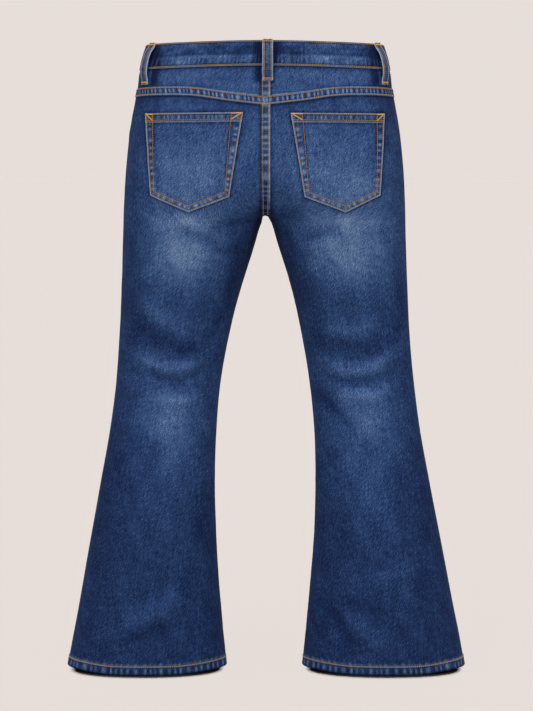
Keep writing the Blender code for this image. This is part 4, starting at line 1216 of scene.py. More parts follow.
def pocket_relief(side, across, height):
    """How far a pocket stands off the cloth, and its rub, painted shade, rope and distance along a seam."""
    corners = np.array(POCKET[side])
    rim, along = to_segments(across, height, corners)
    low, high = corners[0], corners[-1]
    from_top = low[1] + (high[1] - low[1]) * (across - low[0]) / (high[0] - low[0]) - height
    second, _ = to_segments(across, height, inner_row(side))
    seed = 60 + ("left", "right").index(side)
    turned = 1 - ease((rim - POCKET_TURN) / 0.0020)
    hem = 1 - ease((from_top - POCKET_HEM) / 0.0012)
    between_rows = near(rim - 0.0058, 0.0034)
    on_hem = near(from_top - 0.0068, 0.0036)
    rise = GAP + CLOTH + 0.0005 * turned + 0.0004 * hem - 0.0003 * near(second, 0.0010)
    rise = rise + 0.00030 * unrest(across, height, seed) * (1 - turned)
    rub = 0.95 * near(rim, 0.0011) + 0.80 * near(from_top, 0.0010)
    rub = rub + 0.42 * near(from_top - POCKET_HEM, 0.0010)
    rub = rub + 0.16 * near(second, 0.0030) * (from_top > 0.10)
    rope = np.where(hem > 0.5, 0.55 * on_hem, 0.85 * between_rows)
    along = np.where(hem > 0.5, across, SLANT * along)
    # Painted shade in the grooves of its rows, under its folded top and inside its turned edge.
    shade = -0.60 * near(second, 0.0014) - 0.60 * near(rim - FIRST_ROW, 0.0012) + 0.05 * between_rows
    shade = shade - 0.30 * near(from_top - POCKET_HEM - 0.0022, 0.0018)
    shade = shade - 0.50 * (near(from_top - FIRST_ROW, 0.0012) + near(from_top - SECOND_ROW, 0.0012))
    shade = shade - 0.10 * near(rim - POCKET_TURN - 0.002, 0.0025) * (1 - hem)
    return rise, rub, shade, rope, along


def back_pocket(side):
    """A five-sided patch, on a grid that has a column through its point."""
    inner_top, inner_low, point, outer_low, outer_top = np.array(POCKET[side])
    s = steps((0, 0.11, 0.0080), (0.11, 0.89, 0.0170), (0.89, 1.0, 0.0080))
    t = steps((0, 0.12, 0.0080), (0.12, 0.88, 0.0180), (0.88, 1.0, 0.0080))
    s[np.abs(s - POINT_SHARE).argmin()] = POINT_SHARE
    top = inner_top + (outer_top - inner_top) * s[:, None]
    down_in = inner_low + (point - inner_low) * (s / POINT_SHARE)[:, None]
    down_out = point + (outer_low - point) * ((s - POINT_SHARE) / (1 - POINT_SHARE))[:, None]
    bottom = np.where((s <= POINT_SHARE)[:, None], down_in, down_out)
    grid = top[None] + (bottom - top)[None] * t[:, None, None]
    across, level = grid[..., 0], grid[..., 1]
    height, share = place_of("back", across, level)
    points, normals, fold = cloth_at(side, "back", height, share)
    rise, rub, shade, rope, along = pocket_relief(side, across, level)
    outer, inner = points + normals * rise[..., None], points + normals * GAP
    wear_and_shade = wear_and_shade_of("back", points, fold) + shade
    uv = grid * np.array([-1.0 if side == "left" else 1.0, 1.0])
    return cloth_wall(f"back_pocket_{side}", outer, inner, uv, looks_of(wear_and_shade.shape, wear_and_shade, rub, rope, along))


for side in ("left", "right"):
    back_pocket(side)

# %% [markdown]
# ## Fly
# The fly's outer layer laps over the centre front and curves back to it at its foot. It isn't seen
# from behind, but the part is used from every side, so it is made with the same care.

# %% Fly
FLY_LAP = 0.004
FLY_WIDTH = 0.036
FLY_LENGTH = 0.135
FLY_CURVE = 0.050
FLY_TOP = WAIST_TOP["front"] - BAND_DEPTH - GAP
FLY_FOOT = WAIST_TOP["front"] - BAND_DEPTH - FLY_LENGTH


def fly_edge(height):
    """Distance from the centre to the fly's curved side."""
    drop = np.clip((FLY_FOOT + FLY_CURVE - height) / FLY_CURVE, 0, 1)
    return 0.002 + FLY_WIDTH * np.sqrt(np.clip(1 - drop**2, 0, 1))


def front_at(across, height):
    """Points on the fronts' outside, to both sides of the centre."""
    row, share = place_of("front", np.abs(across), height)
    left, left_out, fold = cloth_at("left", "front", row, share)
    right, right_out, _ = cloth_at("right", "front", row, share)
    on_left = (across >= 0)[..., None]
    return np.where(on_left, left, right), np.where(on_left, left_out, right_out), fold


def fly():
    """The fly's outer layer, on the fronts' outside."""
    t = np.linspace(0, 1, 60)[:, None]
    s = np.linspace(0, 1, 22)[None, :]
    height = FLY_TOP + (FLY_FOOT + 0.0002 - FLY_TOP) * t + 0 * s
    across = -FLY_LAP + (fly_edge(height) + FLY_LAP) * s
    height = height + (waist_seam("front", 1 - np.abs(across) / FRONT_ROW) - GAP - FLY_TOP) * (1 - t)
    points, normals, fold = front_at(across, height)
    outer, inner = points + normals * (GAP + CLOTH), points + normals * GAP
    uv = np.stack([across, height], -1)
    rub = 0.60 * near(across + FLY_LAP, 0.0012) + 0.16 * near(across - fly_edge(height), 0.002)
    rope = 0.35 * near(across - 0.020, 0.020) * near(height - FLY_TOP, 0.004)
    wear_and_shade = wear_and_shade_of("front", points, fold)
    return cloth_wall("fly", outer, inner, uv, looks_of(wear_and_shade.shape, wear_and_shade, rub, rope, across))


fly()

# %% [markdown]
# ## Waistband and hems
# The waistband is one strip folded lengthwise and sewn over the raw edges of everything below it.
# The hems are folded twice. Both are swept: a small outline is placed at many stations along the
# sheet, so the strip follows the cloth exactly and has a real fold at each edge.

# %% Waistband and hems
BAND_OUT = 0.0014  # the waistband's outside and inside, from the cloth's outside
BAND_IN = 0.0015
BAND_CROWN = 0.0003  # how much further its middle stands out
BAND_LAP = 0.016  # how far its upper end passes the centre, with the button
BAND_UNDERLAP = 0.036  # and its lower one
HEM_OUT = 0.0012  # a hem's outside and inside, from the cloth's outside
HEM_IN = 0.0020
FOLDED_EDGE = 0.0006  # how far a folded edge is rounded in
BAND_STEP = 0.0031
BAND_MIDDLE = 0.98  # the height where rows under the waistband are measured
BAND_ROW = float(row_length("front", 0.95))
LOOP_WIDTH = 0.0165
SIDE_LOOP_INNER = 0.1715  # distance from the centre to a side loop's inner edge


def band_path():
    """Stations round the waist, from the hidden lower end to the lapped one: side, face, share, step in."""
    back, front = float(row_length("back", BAND_MIDDLE)), BAND_ROW
    tuck = BAND_OUT + BAND_IN + 2 * GAP
    quarter_back, quarter_front = round(back / BAND_STEP), round(front / BAND_STEP)
    path = [("left", "front", 1 - t / front, tuck) for t in np.linspace(BAND_UNDERLAP, 0.004, 11)]
    for t in np.linspace(0, 1, quarter_front + 1):
        path.append(("right", "front", 1 - t, tuck * (1 - float(ease((t * front - 0.019) / 0.035)))))
    path += [("right", "back", t, 0.0) for t in np.linspace(0, 1, quarter_back + 1)[1:]]
    path += [("left", "back", 1 - t, 0.0) for t in np.linspace(0, 1, quarter_back + 1)[1:]]
    path += [("left", "front", t, 0.0) for t in np.linspace(0, 1, quarter_front + 1)[1:]]
    path += [("right", "front", 1 - t / front, 0.0) for t in np.linspace(0, BAND_LAP, 6)[1:]]
    return path


def band_offset(up, along):
    """How far the waistband's outside stands off the cloth, at a share of its depth."""
    from_edge = np.minimum(up, 1 - up) * BAND_DEPTH
    edge = FOLDED_EDGE * np.clip(1 - from_edge / 0.0010, 0, 1) ** 2
    wave = 0.00022 * ripple(along + 9.0 * up * BAND_DEPTH, 0.019, 51) * math.sin(up * math.pi)
    crown = BAND_CROWN * np.sin(up * math.pi)
    return BAND_OUT + crown - edge + wave - 0.00025 * near(from_edge - FIRST_ROW, 0.0009)


def band_points(up, offset_from=band_offset, path=None):
    """Points of the band at a share of its depth, for every station, and the distance along."""
    path = path or band_path()
    sides, faces = [p[0] for p in path], [p[1] for p in path]
    share, step_in = np.array([p[2] for p in path]), np.array([p[3] for p in path])
    seam = np.array([waist_seam(f, t) for f, t in zip(faces, share, strict=True)])
    points, normals = np.empty((len(path), 3)), np.empty((len(path), 3))
    for side in ("left", "right"):
        for face in ("back", "front"):
            pick = np.array([a == side and b == face for a, b in zip(sides, faces, strict=True)])
            level = seam[pick] + up * BAND_DEPTH
            points[pick], normals[pick], _ = cloth_at(side, face, level, share[pick])
    flat = np.stack([points[:, 0], points[:, 1]], -1)
    along = np.concatenate([[0], np.linalg.norm(np.diff(flat, axis=0), axis=1).cumsum()])
    return points + normals * (offset_from(up, along) - step_in)[:, None], normals, along


def band_wear_and_shade(up, far, across, on_back):
    """The waistband's tone: fading lighter along its lower half, painted shade beside its rows and loops,
    and darker sides from painted shade and less rubbing.
    """
    from_bottom, from_top = up * BAND_DEPTH, (1 - up) * BAND_DEPTH
    wear_and_shade = 0.24 + 0.20 * near(from_bottom - 0.0085, 0.0065) + 0.22 * near(from_bottom - 0.0140, 0.0022)
    wear_and_shade = wear_and_shade - 0.18 * near(from_bottom - 0.0185, 0.0018) - 0.04 * near(up - 0.70, 0.10)
    wear_and_shade = wear_and_shade + 0.14 * near(from_top - 0.0048, 0.0040)
    # Painted shade in the grooves of both rows of stitches.
    wear_and_shade = wear_and_shade - 0.50 * (near(from_bottom - FIRST_ROW, 0.0012) + near(from_top - FIRST_ROW, 0.0012))
    wear_and_shade = wear_and_shade + 0.10 * unrest(far * 1.6, from_bottom * 2.4, 77) + 0.02 * ripple(far, 0.0130, 52)
    # Painted shadows beside the loops, and painted shade towards the sides.
    from_loop = np.abs(across + 0.003) - LOOP_WIDTH / 2
    beside_loop = near(np.maximum(from_loop - 0.0010, 0), 0.0090) * on_back
    beside_side = near(np.maximum(SIDE_LOOP_INNER - np.abs(across), 0), 0.0090)
    beside_loop = beside_loop + beside_side * (np.abs(across) < 0.180) * on_back
    sides = ease((np.abs(across) - 0.120) / 0.070)
    patches = 0.17 * near(across + 0.095, 0.030) + 0.19 * near(across - 0.121, 0.016)
    around_loop = 0.16 * near(np.maximum(from_loop, 0), 0.024)
    return wear_and_shade - 0.80 * beside_loop - 0.06 * sides + (patches - around_loop) * on_back


def waistband():
    """One strip round the waist, from its lower end at the front to the one with the button."""
    ups = np.concatenate([[0.0, 0.015, 0.035], np.linspace(0.07, 0.93, 16), [0.965, 0.985, 1.0]])
    outside = [band_points(up) for up in ups]
    along = outside[0][2]
    inner_ups = (1.0, 0.97, 0.7, 0.5, 0.3, 0.0)
    inside = [band_points(up, lambda u, _: -BAND_IN + FOLDED_EDGE * (u == 1.0))[0] for up in inner_ups]
    sections = np.stack([points for points, _, _ in outside] + inside, axis=1)
    around = np.concatenate([ups, 2 - np.array(inner_ups)]) * BAND_DEPTH
    around[len(ups) :] += 0.001
    up = np.concatenate([ups, inner_ups])[None] + 0 * along[:, None]
    far = along[:, None] + 0 * up
    from_bottom, from_top = up * BAND_DEPTH, (1 - up) * BAND_DEPTH
    rub = 0.60 * near(from_bottom, 0.0010) + 0.50 * near(from_top, 0.0008)
    rope = 0.28 * near(from_bottom - 0.0075, 0.0045) + 0.05
    wear_and_shade = band_wear_and_shade(up, far, sections[..., 0], sections[..., 1] > 0)
    cut = (float(along[-1]), BAND_DEPTH, float(along[-1]) * BAND_DEPTH)
    looks = looks_of(up.shape, wear_and_shade, rub, rope, far + 0.10 * from_bottom)
    return cloth_band("waistband", sections, -along, around, looks, len(ups), False, cut)


HEM_STEP = 0.0027


def hem_points(side, level, offset):
    """Points round one leg at a height near the floor, moved out level."""
    back, front = float(row_length("back", 0.0)), float(row_length("front", 0.0))
    back_shares = np.linspace(0, 1, round(back / HEM_STEP) + 1)[:-1]
    front_shares = np.linspace(0, 1, round(front / HEM_STEP) + 1)[:0:-1]
    points, normals = [], []
    for face, shares in (("back", back_shares), ("front", front_shares)):
        p, n, _ = cloth_at(side, face, level, shares)
        points.append(p)
        normals.append(n * np.array([1.0, 1.0, 0.0]))
    points, normals = np.concatenate(points), np.concatenate(normals)
    normals /= np.linalg.norm(normals, axis=1, keepdims=True)
    gaps = np.linalg.norm(np.diff(points, axis=0), axis=1)
    along = np.concatenate([[0], gaps.cumsum()])
    pull = offset(along) if callable(offset) else offset
    points = points + normals * np.broadcast_to(pull, along.shape)[:, None]
    points[:, 2] = level + hem_curl(np.abs(points[:, 0]))
    return points, along


HEM_LEVELS = HEM_DEPTH * np.array([0.0, 0.067, 0.185, 0.311, 0.444, 0.578, 0.711, 0.815, 0.920, 0.963, 1.0])
HEM_DENTS = np.array([FOLDED_EDGE, 0, 0, 0, 0, 0, 0, 0, 0.0003, 0, FOLDED_EDGE])  # its edges and its row


def hem(side):
    """A turned-up hem, all round one leg."""
    seed = 80 + ("left", "right").index(side)
    rings = []
    for level, less in zip(HEM_LEVELS, HEM_DENTS, strict=True):
        def offset(along, level=level, less=less):
            wave = 0.00020 * ripple(along - 1.3 * level, 0.014, seed)
            return HEM_OUT - less + wave * near(level - 0.0065, 0.0050)

        points, along = hem_points(side, level, offset)
        rings.append(points)
    rings.append(hem_points(side, HEM_DEPTH, -HEM_IN)[0])
    rings.append(hem_points(side, HEM_DEPTH / 2, -HEM_IN)[0])
    rings.append(hem_points(side, 0.0, -HEM_IN + FOLDED_EDGE)[0])
    sections = np.stack(rings, axis=1)
    around = np.concatenate([HEM_LEVELS, HEM_DEPTH + np.array([0.0030, 0.0100, 0.0170])])
    level = np.concatenate([HEM_LEVELS, [0.0, 0.0, 0.0]])[None] + 0 * along[:, None]
    far = along[:, None] + 0 * level
    rub = 0.30 * near(level - HEM_DEPTH, 0.0007)
    rope = 0.75 * near(level - 0.0068, 0.0042)
    # Painted shade in the groove of the hem's row and along its bottom edge, where it meets the floor.
    wear_and_shade = 0.20 - 0.55 * near(level - HEM_ROW, 0.0010) - 0.45 * near(level, 0.0022)
    around_leg = float(along[-1]) + HEM_STEP
    cut = (around_leg, HEM_DEPTH, around_leg * HEM_DEPTH)
    looks = looks_of(level.shape, wear_and_shade, rub, rope, SLANT * far)
    sign = 1.0 if side == "left" else -1.0
    return cloth_band(f"hem_{side}", sections, sign * along, around, looks, len(HEM_LEVELS), True, cut)


FLAG_WIDTH = 0.97  # as a share of the leg's


def flag(side):
    """A hidden sheet across a hem. Like a studio's black flag, it blocks the floor lamp."""
    ring = lowered(hem_points(side, HEM_DEPTH, -HEM_IN)[0])
    middle = np.ptp(ring[:, 0]) / 2 + ring[:, 0].min()
    ring[:, 0] = middle + (ring[:, 0] - middle) * FLAG_WIDTH
    ring[:, 2] = HEM_DEPTH - HELD_HEIGHT
    mesh = bpy.data.meshes.new(f"flag {side}")
    mesh.from_pydata(ring.tolist(), [], [list(range(len(ring)))])
    made = in_scene(f"flag {side}", mesh)
    made.visible_camera = made.visible_diffuse = False
    made.visible_glossy = made.visible_transmission = False
    return made


waistband()
for side in ("left", "right"):
    hem(side)
    floor_lamp.light_linking.blocker_collection.objects.link(flag(side))

# %% [markdown]
# ## Belt loops
# A loop is a narrow folded strip, tacked to the waistband's top and to the cloth below it, and it
# stands off between them so that a belt goes through. It is straight across, so it rides on
# whatever stands out most under its width.

# %% Belt loops
LOOP_CLOTH = 0.0016
LOOP_TOP_LAP = 0.0012  # how far it passes the waistband's top
LOOP_ROW = 0.0049  # from its middle to its row of stitches
LOOP_TACK = 0.0065  # length of each end that is tacked down
# Below is how far a loop reaches under the waistband, and seam how far a seam there lifts it.
LOOPS = table(
    ("name", "side", "face", "from_centre", "stand_off", "below", "seam"),
    ("back", "right", "back", 0.0042, 0.0064, 0.0228, FELL_RISE),
    ("side_left", "left", "back", SIDE_LOOP, 0.0045, 0.0235, 0.0),
    ("side_right", "right", "back", SIDE_LOOP, 0.0045, 0.0235, 0.0),
    ("front_left", "left", "front", 0.100, 0.0066, 0.0200, 0.0),
    ("front_right", "right", "front", 0.100, 0.0066, 0.0200, 0.0),
)
LOOP_FRAMES = {}  # each loop's middle line, for its stitches


def belt_loop(n):
    """One row of the table as a folded strip, tacked down at both ends."""
    name, side, face = (LOOPS[key][n] for key in ("name", "side", "face"))
    from_centre, stand_off, seam = (LOOPS[key][n] for key in ("from_centre", "stand_off", "seam"))
    length = float(row_length(face, BAND_MIDDLE))
    share = 1 - from_centre / length
    top = waist_top(face, share) + LOOP_TOP_LAP
    bottom = waist_seam(face, share) - LOOPS["below"][n]
    band = BAND_OUT + BAND_CROWN
    knots = (
        (bottom, seam + GAP),
        (bottom + LOOP_TACK, seam + GAP),
        (bottom + LOOP_TACK + 0.0070, (seam + band + stand_off) / 2),
        (waist_seam(face, share) + 0.0020, band + stand_off),
        ((bottom + top) / 2 + 0.0060, band + stand_off + 0.0004),
        (top - LOOP_TACK - 0.0090, band + stand_off),
        (top - LOOP_TACK - 0.0030, band + stand_off * 0.45),
        (top - LOOP_TACK, band + GAP),
        (top, band + GAP),
    )
    known = {"height": [row[0] for row in knots], "off": [row[1] for row in knots]}
    heights = np.linspace(bottom, min(top, TOP_OF_TABLE), 34)
    offsets = np.interp(heights, known["height"], known["off"])
    offsets = np.convolve(np.pad(offsets, 1, mode="edge"), (0.25, 0.5, 0.25), mode="valid")
    half = LOOP_WIDTH / 2
    beside = share + np.array([-1, -0.5, 0, 0.5, 1]) * half / length
    points, normals, _ = cloth_at(side, face, heights[:, None], np.minimum(beside, 1)[None, :])
    level = np.cross(normals[16, 2], [0.0, 0.0, 1.0])
    level /= np.linalg.norm(level)
    out = np.cross([0.0, 0.0, 1.0], level)
    out *= np.sign(out @ normals[16, 2])
    depth = (points @ out).max(axis=1) + offsets
    middle = points[:, 2] @ level
    raised = heights + band_rise(heights)
    path = middle[:, None] * level + depth[:, None] * out + raised[:, None] * np.array([0.0, 0.0, 1.0])
    away = np.cross(level, np.gradient(path, axis=0))
    away *= np.sign(away @ out)[:, None] / np.linalg.norm(away, axis=1, keepdims=True)
    across = np.array([-1, -0.93, -0.6, -0.3, 0, 0.3, 0.6, 0.93, 1])
    crown = LOOP_CLOTH - 0.0005 * np.abs(across) ** 12 - 0.00015 * near(np.abs(across) - 0.6, 0.1)
    outer = [path + level * half * a + away * c for a, c in zip(across, crown, strict=True)]
    inner = [path + level * half * a for a in across[::-1]]
    sections = np.stack(outer + inner, axis=1)
    walk = np.concatenate([[0], np.linalg.norm(np.diff(path, axis=0), axis=1).cumsum()])
    both = np.concatenate([across, across[::-1]])
    around = np.concatenate([half * (across + 1), LOOP_WIDTH + 0.001 + half * (1 - across[::-1])])
    from_edge = half * (1 - np.abs(both))[None] + 0 * walk[:, None]
    far = walk[:, None] + 0 * both[None]
    to_end = np.minimum(far, walk[-1] - far)
    rub = 0.90 * near(from_edge, 0.0010) + 0.50 * near(to_end, 0.0010)
    rope = 0.35 * near(from_edge - 0.0018, 0.0012)
    # Painted shade in the grooves of its rows and near its tacked ends.
    wear_and_shade = 0.44 + 0.10 * near(from_edge - half, 0.0022) - 0.50 * near(from_edge - 0.0034, 0.0012)
    wear_and_shade = wear_and_shade - 0.16 * near(to_end - 0.0060, 0.0020)
    LOOP_FRAMES[f"belt_loop_{name}"] = (path, level, away, heights)
    cut = (LOOP_WIDTH, float(walk[-1]), LOOP_WIDTH * float(walk[-1]))
    looks = looks_of(from_edge.shape, wear_and_shade, rub, rope, far)
    return cloth_band(f"belt_loop_{name}", sections, walk, around, looks, len(across), False, cut)


for n in range(len(LOOPS["name"])):
    belt_loop(n)

# %% [markdown]
# ## Button
# A jeans button is a pressed cap on a short neck. Its outline is a table of depths and radii, and
# turning it round its axis gives the cap, its rolled rim and the dimple in its face.

# %% Button
BUTTON = table(
    ("depth", "radius"),
    (0.0, 4.5),
    (1.2, 4.5),
    (1.3, 7.6),
    (1.5, 8.1),
    (1.9, 8.45),
    (2.3, 8.5),
    (2.8, 8.3),
    (3.2, 7.7),
    (3.35, 6.9),
    (3.3, 6.2),
    (3.05, 5.8),
    (2.85, 5.2),
    (2.9, 4.4),
    (3.1, 3.2),
    (3.3, 1.8),
    (3.4, 0.6),
)
BUTTON_SIDES = 48
COPPER = material("copper", {"Base Color": (0.55, 0.30, 0.16, 1.0), "Metallic": 1.0, "Roughness": 0.35})


def add_button():
    """The button, on the waistband at the centre of the front."""
    level = WAIST_TOP["front"] - BAND_DEPTH / 2
    point, out, _ = cloth_at("left", "front", level, 1.0)
    right = np.array([1.0, 0.0, 0.0])
    right = right - out * (right @ out)
    right /= np.linalg.norm(right)
    up = np.cross(out, right)
    angle = np.linspace(0, 2 * math.pi, BUTTON_SIDES, endpoint=False)
    ring = right * np.cos(angle)[:, None] + up * np.sin(angle)[:, None]
    face = BAND_OUT + BAND_CROWN + GAP
    rings = [
        point + out * (face + depth / 1000) + ring * radius / 1000
        for depth, radius in zip(BUTTON["depth"], BUTTON["radius"], strict=True)
    ]
    points = np.concatenate(rings)
    index = np.arange(len(points)).reshape(len(rings), BUTTON_SIDES)
    beside = np.roll(index, -1, axis=1)
    faces = np.stack([index[:-1], beside[:-1], beside[1:], index[1:]], -1).reshape(-1, 4).tolist()
    faces += [index[0, ::-1].tolist(), index[-1].tolist()]
    mesh = bpy.data.meshes.new("waist_button")
    mesh.from_pydata(lowered(points).tolist(), [], faces)
    mesh.materials.append(COPPER)
    mesh.shade_smooth()
    mesh.set_sharp_from_angle(angle=math.radians(50))
    made = in_scene("waist_button", mesh)
    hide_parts("waist_button")
    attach(made, "root")
    return made


add_button()
print("button", round(2 * max(BUTTON["radius"]), 1), "mm across")

# %% [markdown]
# ## Stitches
# Topstitching on jeans is thick thread in a contrasting colour, three millimetres a stitch. A node
# group puts one stitch shape at even distances along any line, so every row is only a line on the
# cloth, and the stitch length is one number. A second group turns a line into a continuous thread,
# for the dense zigzag of a bar tack. Both end in real faces, because instances don't export.

# %% Stitch tools
STITCH = 0.0033
THREAD = 0.00115
TACK_THREAD = 0.00100
STITCH_LIFT = 0.00015  # how far a row's middle line lies over the cloth
TACK_LIFT = 0.00035
ROWS = {}  # the stitches on each cloth piece


def thread_material(name, colour):
    return material(name, {"Base Color": colour, "Roughness": 0.7, "Specular IOR Level": 0.12})


THREAD_BROWN = thread_material("thread brown", (0.42, 0.215, 0.004, 1.0))
THREAD_GOLD = thread_material("thread gold", (0.74, 0.37, 0.022, 1.0))


def node_group(name, sockets):
    """An empty group with named inputs, and its input and output sockets."""
    tree = bpy.data.node_groups.new(name, "GeometryNodeTree")
    tree.interface.new_socket("Geometry", in_out="INPUT", socket_type="NodeSocketGeometry")
    for socket, kind in sockets:
        tree.interface.new_socket(socket, in_out="INPUT", socket_type=kind)
    tree.interface.new_socket("Geometry", in_out="OUTPUT", socket_type="NodeSocketGeometry")
    return tree, tree.nodes.new("NodeGroupInput").outputs, tree.nodes.new("NodeGroupOutput").inputs


def real_faces(tree, geometry, given, result):
    """Ends a group: instances become real faces, and all of them get the thread's material."""
    real = wire(tree, "GeometryNodeRealizeInstances", {"Geometry": geometry}).outputs[0]
    coloured = wire(tree, "GeometryNodeSetMaterial", {"Geometry": real, "Material": given["Thread"]})
    tree.links.new(coloured.outputs[0], result["Geometry"])


def stitch_group():
    """One stitch at every pitch along the lines."""
    tree, given, result = node_group(
        "stitch row",
        (("Pitch", "NodeSocketFloat"), ("Thickness", "NodeSocketFloat"), ("Thread", "NodeSocketMaterial")),
    )
    line = wire(tree, "GeometryNodeMeshToCurve", {"Mesh": given["Geometry"]})
    spaced = {"Curve": line.outputs[0], "Length": given["Pitch"]}
    places = wire(tree, "GeometryNodeCurveToPoints", spaced, mode="LENGTH")
    stitch = wire(tree, "GeometryNodeMeshUVSphere", {"Segments": 6, "Rings": 5, "Radius": 1.0})
    wide = calculate(tree, "MULTIPLY", given["Thickness"], 0.5)
    long = calculate(tree, "MULTIPLY", given["Pitch"], 0.42)
    size = wire(tree, "ShaderNodeCombineXYZ", {"X": wide, "Y": wide, "Z": long})
    placed = wire(
        tree,
        "GeometryNodeInstanceOnPoints",
        {
            "Points": places.outputs["Points"],
            "Instance": stitch.outputs["Mesh"],
            "Rotation": places.outputs["Rotation"],
            "Scale": size.outputs[0],
        },
    )
    real_faces(tree, placed.outputs[0], given, result)
    return tree


def tack_group():
    """One thread all along the lines."""
    tree, given, result = node_group(
        "continuous thread",
        (("Thickness", "NodeSocketFloat"), ("Thread", "NodeSocketMaterial")),
    )
    line = wire(tree, "GeometryNodeMeshToCurve", {"Mesh": given["Geometry"]})
    half = calculate(tree, "MULTIPLY", given["Thickness"], 0.5)
    ring = wire(tree, "GeometryNodeCurvePrimitiveCircle", {"Resolution": 5, "Radius": half})
    swept = {"Curve": line.outputs[0], "Profile Curve": ring.outputs[0], "Fill Caps": True}
    tube = wire(tree, "GeometryNodeCurveToMesh", swept)
    real_faces(tree, tube.outputs[0], given, result)
    return tree


STITCH_ROW, CONTINUOUS = stitch_group(), tack_group()


def sewn(name, lines, group, **given):
    """One piece from lines of points, made by a node group and then turned into plain faces."""
    points, edges = [], []
    for line in lines:
        start = len(points)
        points.extend(lowered(np.asarray(line)).tolist())
        edges.extend((start + k, start + k + 1) for k in range(len(line) - 1))
    mesh = bpy.data.meshes.new(name + " lines")
    mesh.from_pydata(points, edges, [])
    made = in_scene(name, mesh)
    modifier = made.modifiers.new(group.name, "NODES")
    modifier.node_group = group
    for item in group.interface.items_tree:
        if item.in_out == "INPUT" and item.name in given:
            modifier[item.identifier] = given[item.name]
    graph = bpy.context.evaluated_depsgraph_get()
    finished = bpy.data.meshes.new_from_object(made.evaluated_get(graph))
    made.modifiers.clear()
    made.data = finished
    finished.name = name
    finished.shade_smooth()
    bpy.data.meshes.remove(mesh)
    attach(made, "root")
    print(f"{name}: {len(lines)} lines, {len(finished.polygons)} faces")
    return made


def row_of_stitches(name, lines, on):
    made = sewn(name, lines, STITCH_ROW, Pitch=STITCH, Thickness=THREAD, Thread=THREAD_BROWN)
    ROWS.setdefault(on, []).append(made)


def tacks(name, lines, on):
    made = sewn(name, lines, CONTINUOUS, Thickness=TACK_THREAD, Thread=THREAD_GOLD)
    ROWS.setdefault(on, []).append(made)


def along_panel(side, face, height, share, extra=STITCH_LIFT):
    """A line over a panel, from its sheet coordinates."""
    height, share = np.broadcast_arrays(np.asarray(height, float), np.asarray(share, float))
    points, normals, _ = cloth_at(side, face, height, share)
    rise = relief(side, face, height, share)[0] + extra
    return points + normals * rise[:, None]


print("node groups:", STITCH_ROW.name, "and", CONTINUOUS.name)

# %% [markdown]
# ## Rows of stitches
# Every row runs where a maker would sew it: two under the yoke, one on each side of the seam down
# the seat, one along each edge of the waistband, two round each back pocket and two across its top,
# one beside the side seam of the hip, one on each inside leg and one round each hem. Each becomes a
# line in sheet coordinates, so it lies on the cloth whatever that does.

# %% Rows
def waist_rows():
    path = band_path()
    rows = []
    for up in (FIRST_ROW / BAND_DEPTH, 1 - FIRST_ROW / BAND_DEPTH):
        points, normals, _ = band_points(up, path=path)
        rows.append(points + normals * STITCH_LIFT)
    return rows


row_of_stitches("stitches_waistband", waist_rows(), "waistband")

for side in ("left", "right"):
    shares = np.linspace(0.012, 1 - 0.0008, 120)
    yoke_rows = [
        along_panel(side, "back", yoke_seam(shares) - depth, shares) for depth in (FIRST_ROW, SECOND_ROW)
    ]
    row_of_stitches(f"stitches_yoke_{side}", yoke_rows, f"back_leg_{side}")
    levels = np.linspace(CROTCH_HEIGHT + 0.003, waist_seam("back", 1.0) - 0.002, 150)
    under_yoke = levels < YOKE_SEAM["height"][0] - YOKE_FELL
    over_yoke = levels > YOKE_SEAM["height"][0]
    seat = along_panel(side, "back", *place_of("back", 0 * levels + SEAT_ROW[side], levels))
    row_of_stitches(f"stitches_seat_{side}", [seat[under_yoke]], f"back_leg_{side}")
    row_of_stitches(f"stitches_yoke_centre_{side}", [seat[over_yoke]], f"back_yoke_{side}")
    levels = np.linspace(HEM_DEPTH + 0.003, CROTCH_ROW - 0.004, 300)
    inseam = along_panel(side, "front", levels, 1 - INSEAM_ROW / row_length("front", levels))
    row_of_stitches(f"stitches_inseam_{side}", [inseam], f"front_leg_{side}")
    levels = np.linspace(0.775, waist_seam("back", 0.0) - 0.003, 90)
    above = levels > YOKE_SEAM["height"][-1] + 0.0006
    outseam = along_panel(side, "back", levels, 0.0022 / row_length("back", levels))
    row_of_stitches(f"stitches_outseam_{side}", [outseam[~above]], f"back_leg_{side}")
    row_of_stitches(f"stitches_outseam_yoke_{side}", [outseam[above]], f"back_yoke_{side}")
    hem_row, _ = hem_points(side, HEM_ROW, HEM_OUT + 0.00005)
    row_of_stitches(f"stitches_hem_{side}", [np.concatenate([hem_row, hem_row[:1]])], f"hem_{side}")


def on_pocket(side, corners, extra=STITCH_LIFT, spacing=0.0015):
    """A line over the pocket through corners given as distance from the centre and height."""
    flat = []
    for start, end in zip(corners[:-1], corners[1:], strict=True):
        count = max(2, round(float(np.linalg.norm(np.subtract(end, start))) / spacing))
        flat.append(np.linspace(start, end, count, endpoint=False))
    flat = np.concatenate([*flat, [corners[-1]]])
    height, share = place_of("back", flat[:, 0], flat[:, 1])
    points, normals, _ = cloth_at(side, "back", height, share)
    rise = pocket_relief(side, flat[:, 0], flat[:, 1])[0] + extra
    return points + normals * rise[:, None]


def zigzag(start, end, wide, pitch=0.00085):
    """Corners of a zigzag between two points of a plane."""
    start, end = np.array(start, float), np.array(end, float)
    way = (end - start) / np.linalg.norm(end - start)
    count = max(4, round(float(np.linalg.norm(end - start)) / pitch))
    beside = np.array([-way[1], way[0]]) * wide / 2
    return [start + (end - start) * k / count + beside * (1 if k % 2 else -1) for k in range(count + 1)]


def shortened(corners, by=0.0017):
    """The same line with both ends cut back."""
    first, last = corners[1] - corners[0], corners[-2] - corners[-1]
    start = corners[0] + first / np.linalg.norm(first) * by
    return [start, *corners[1:-1], corners[-1] + last / np.linalg.norm(last) * by]


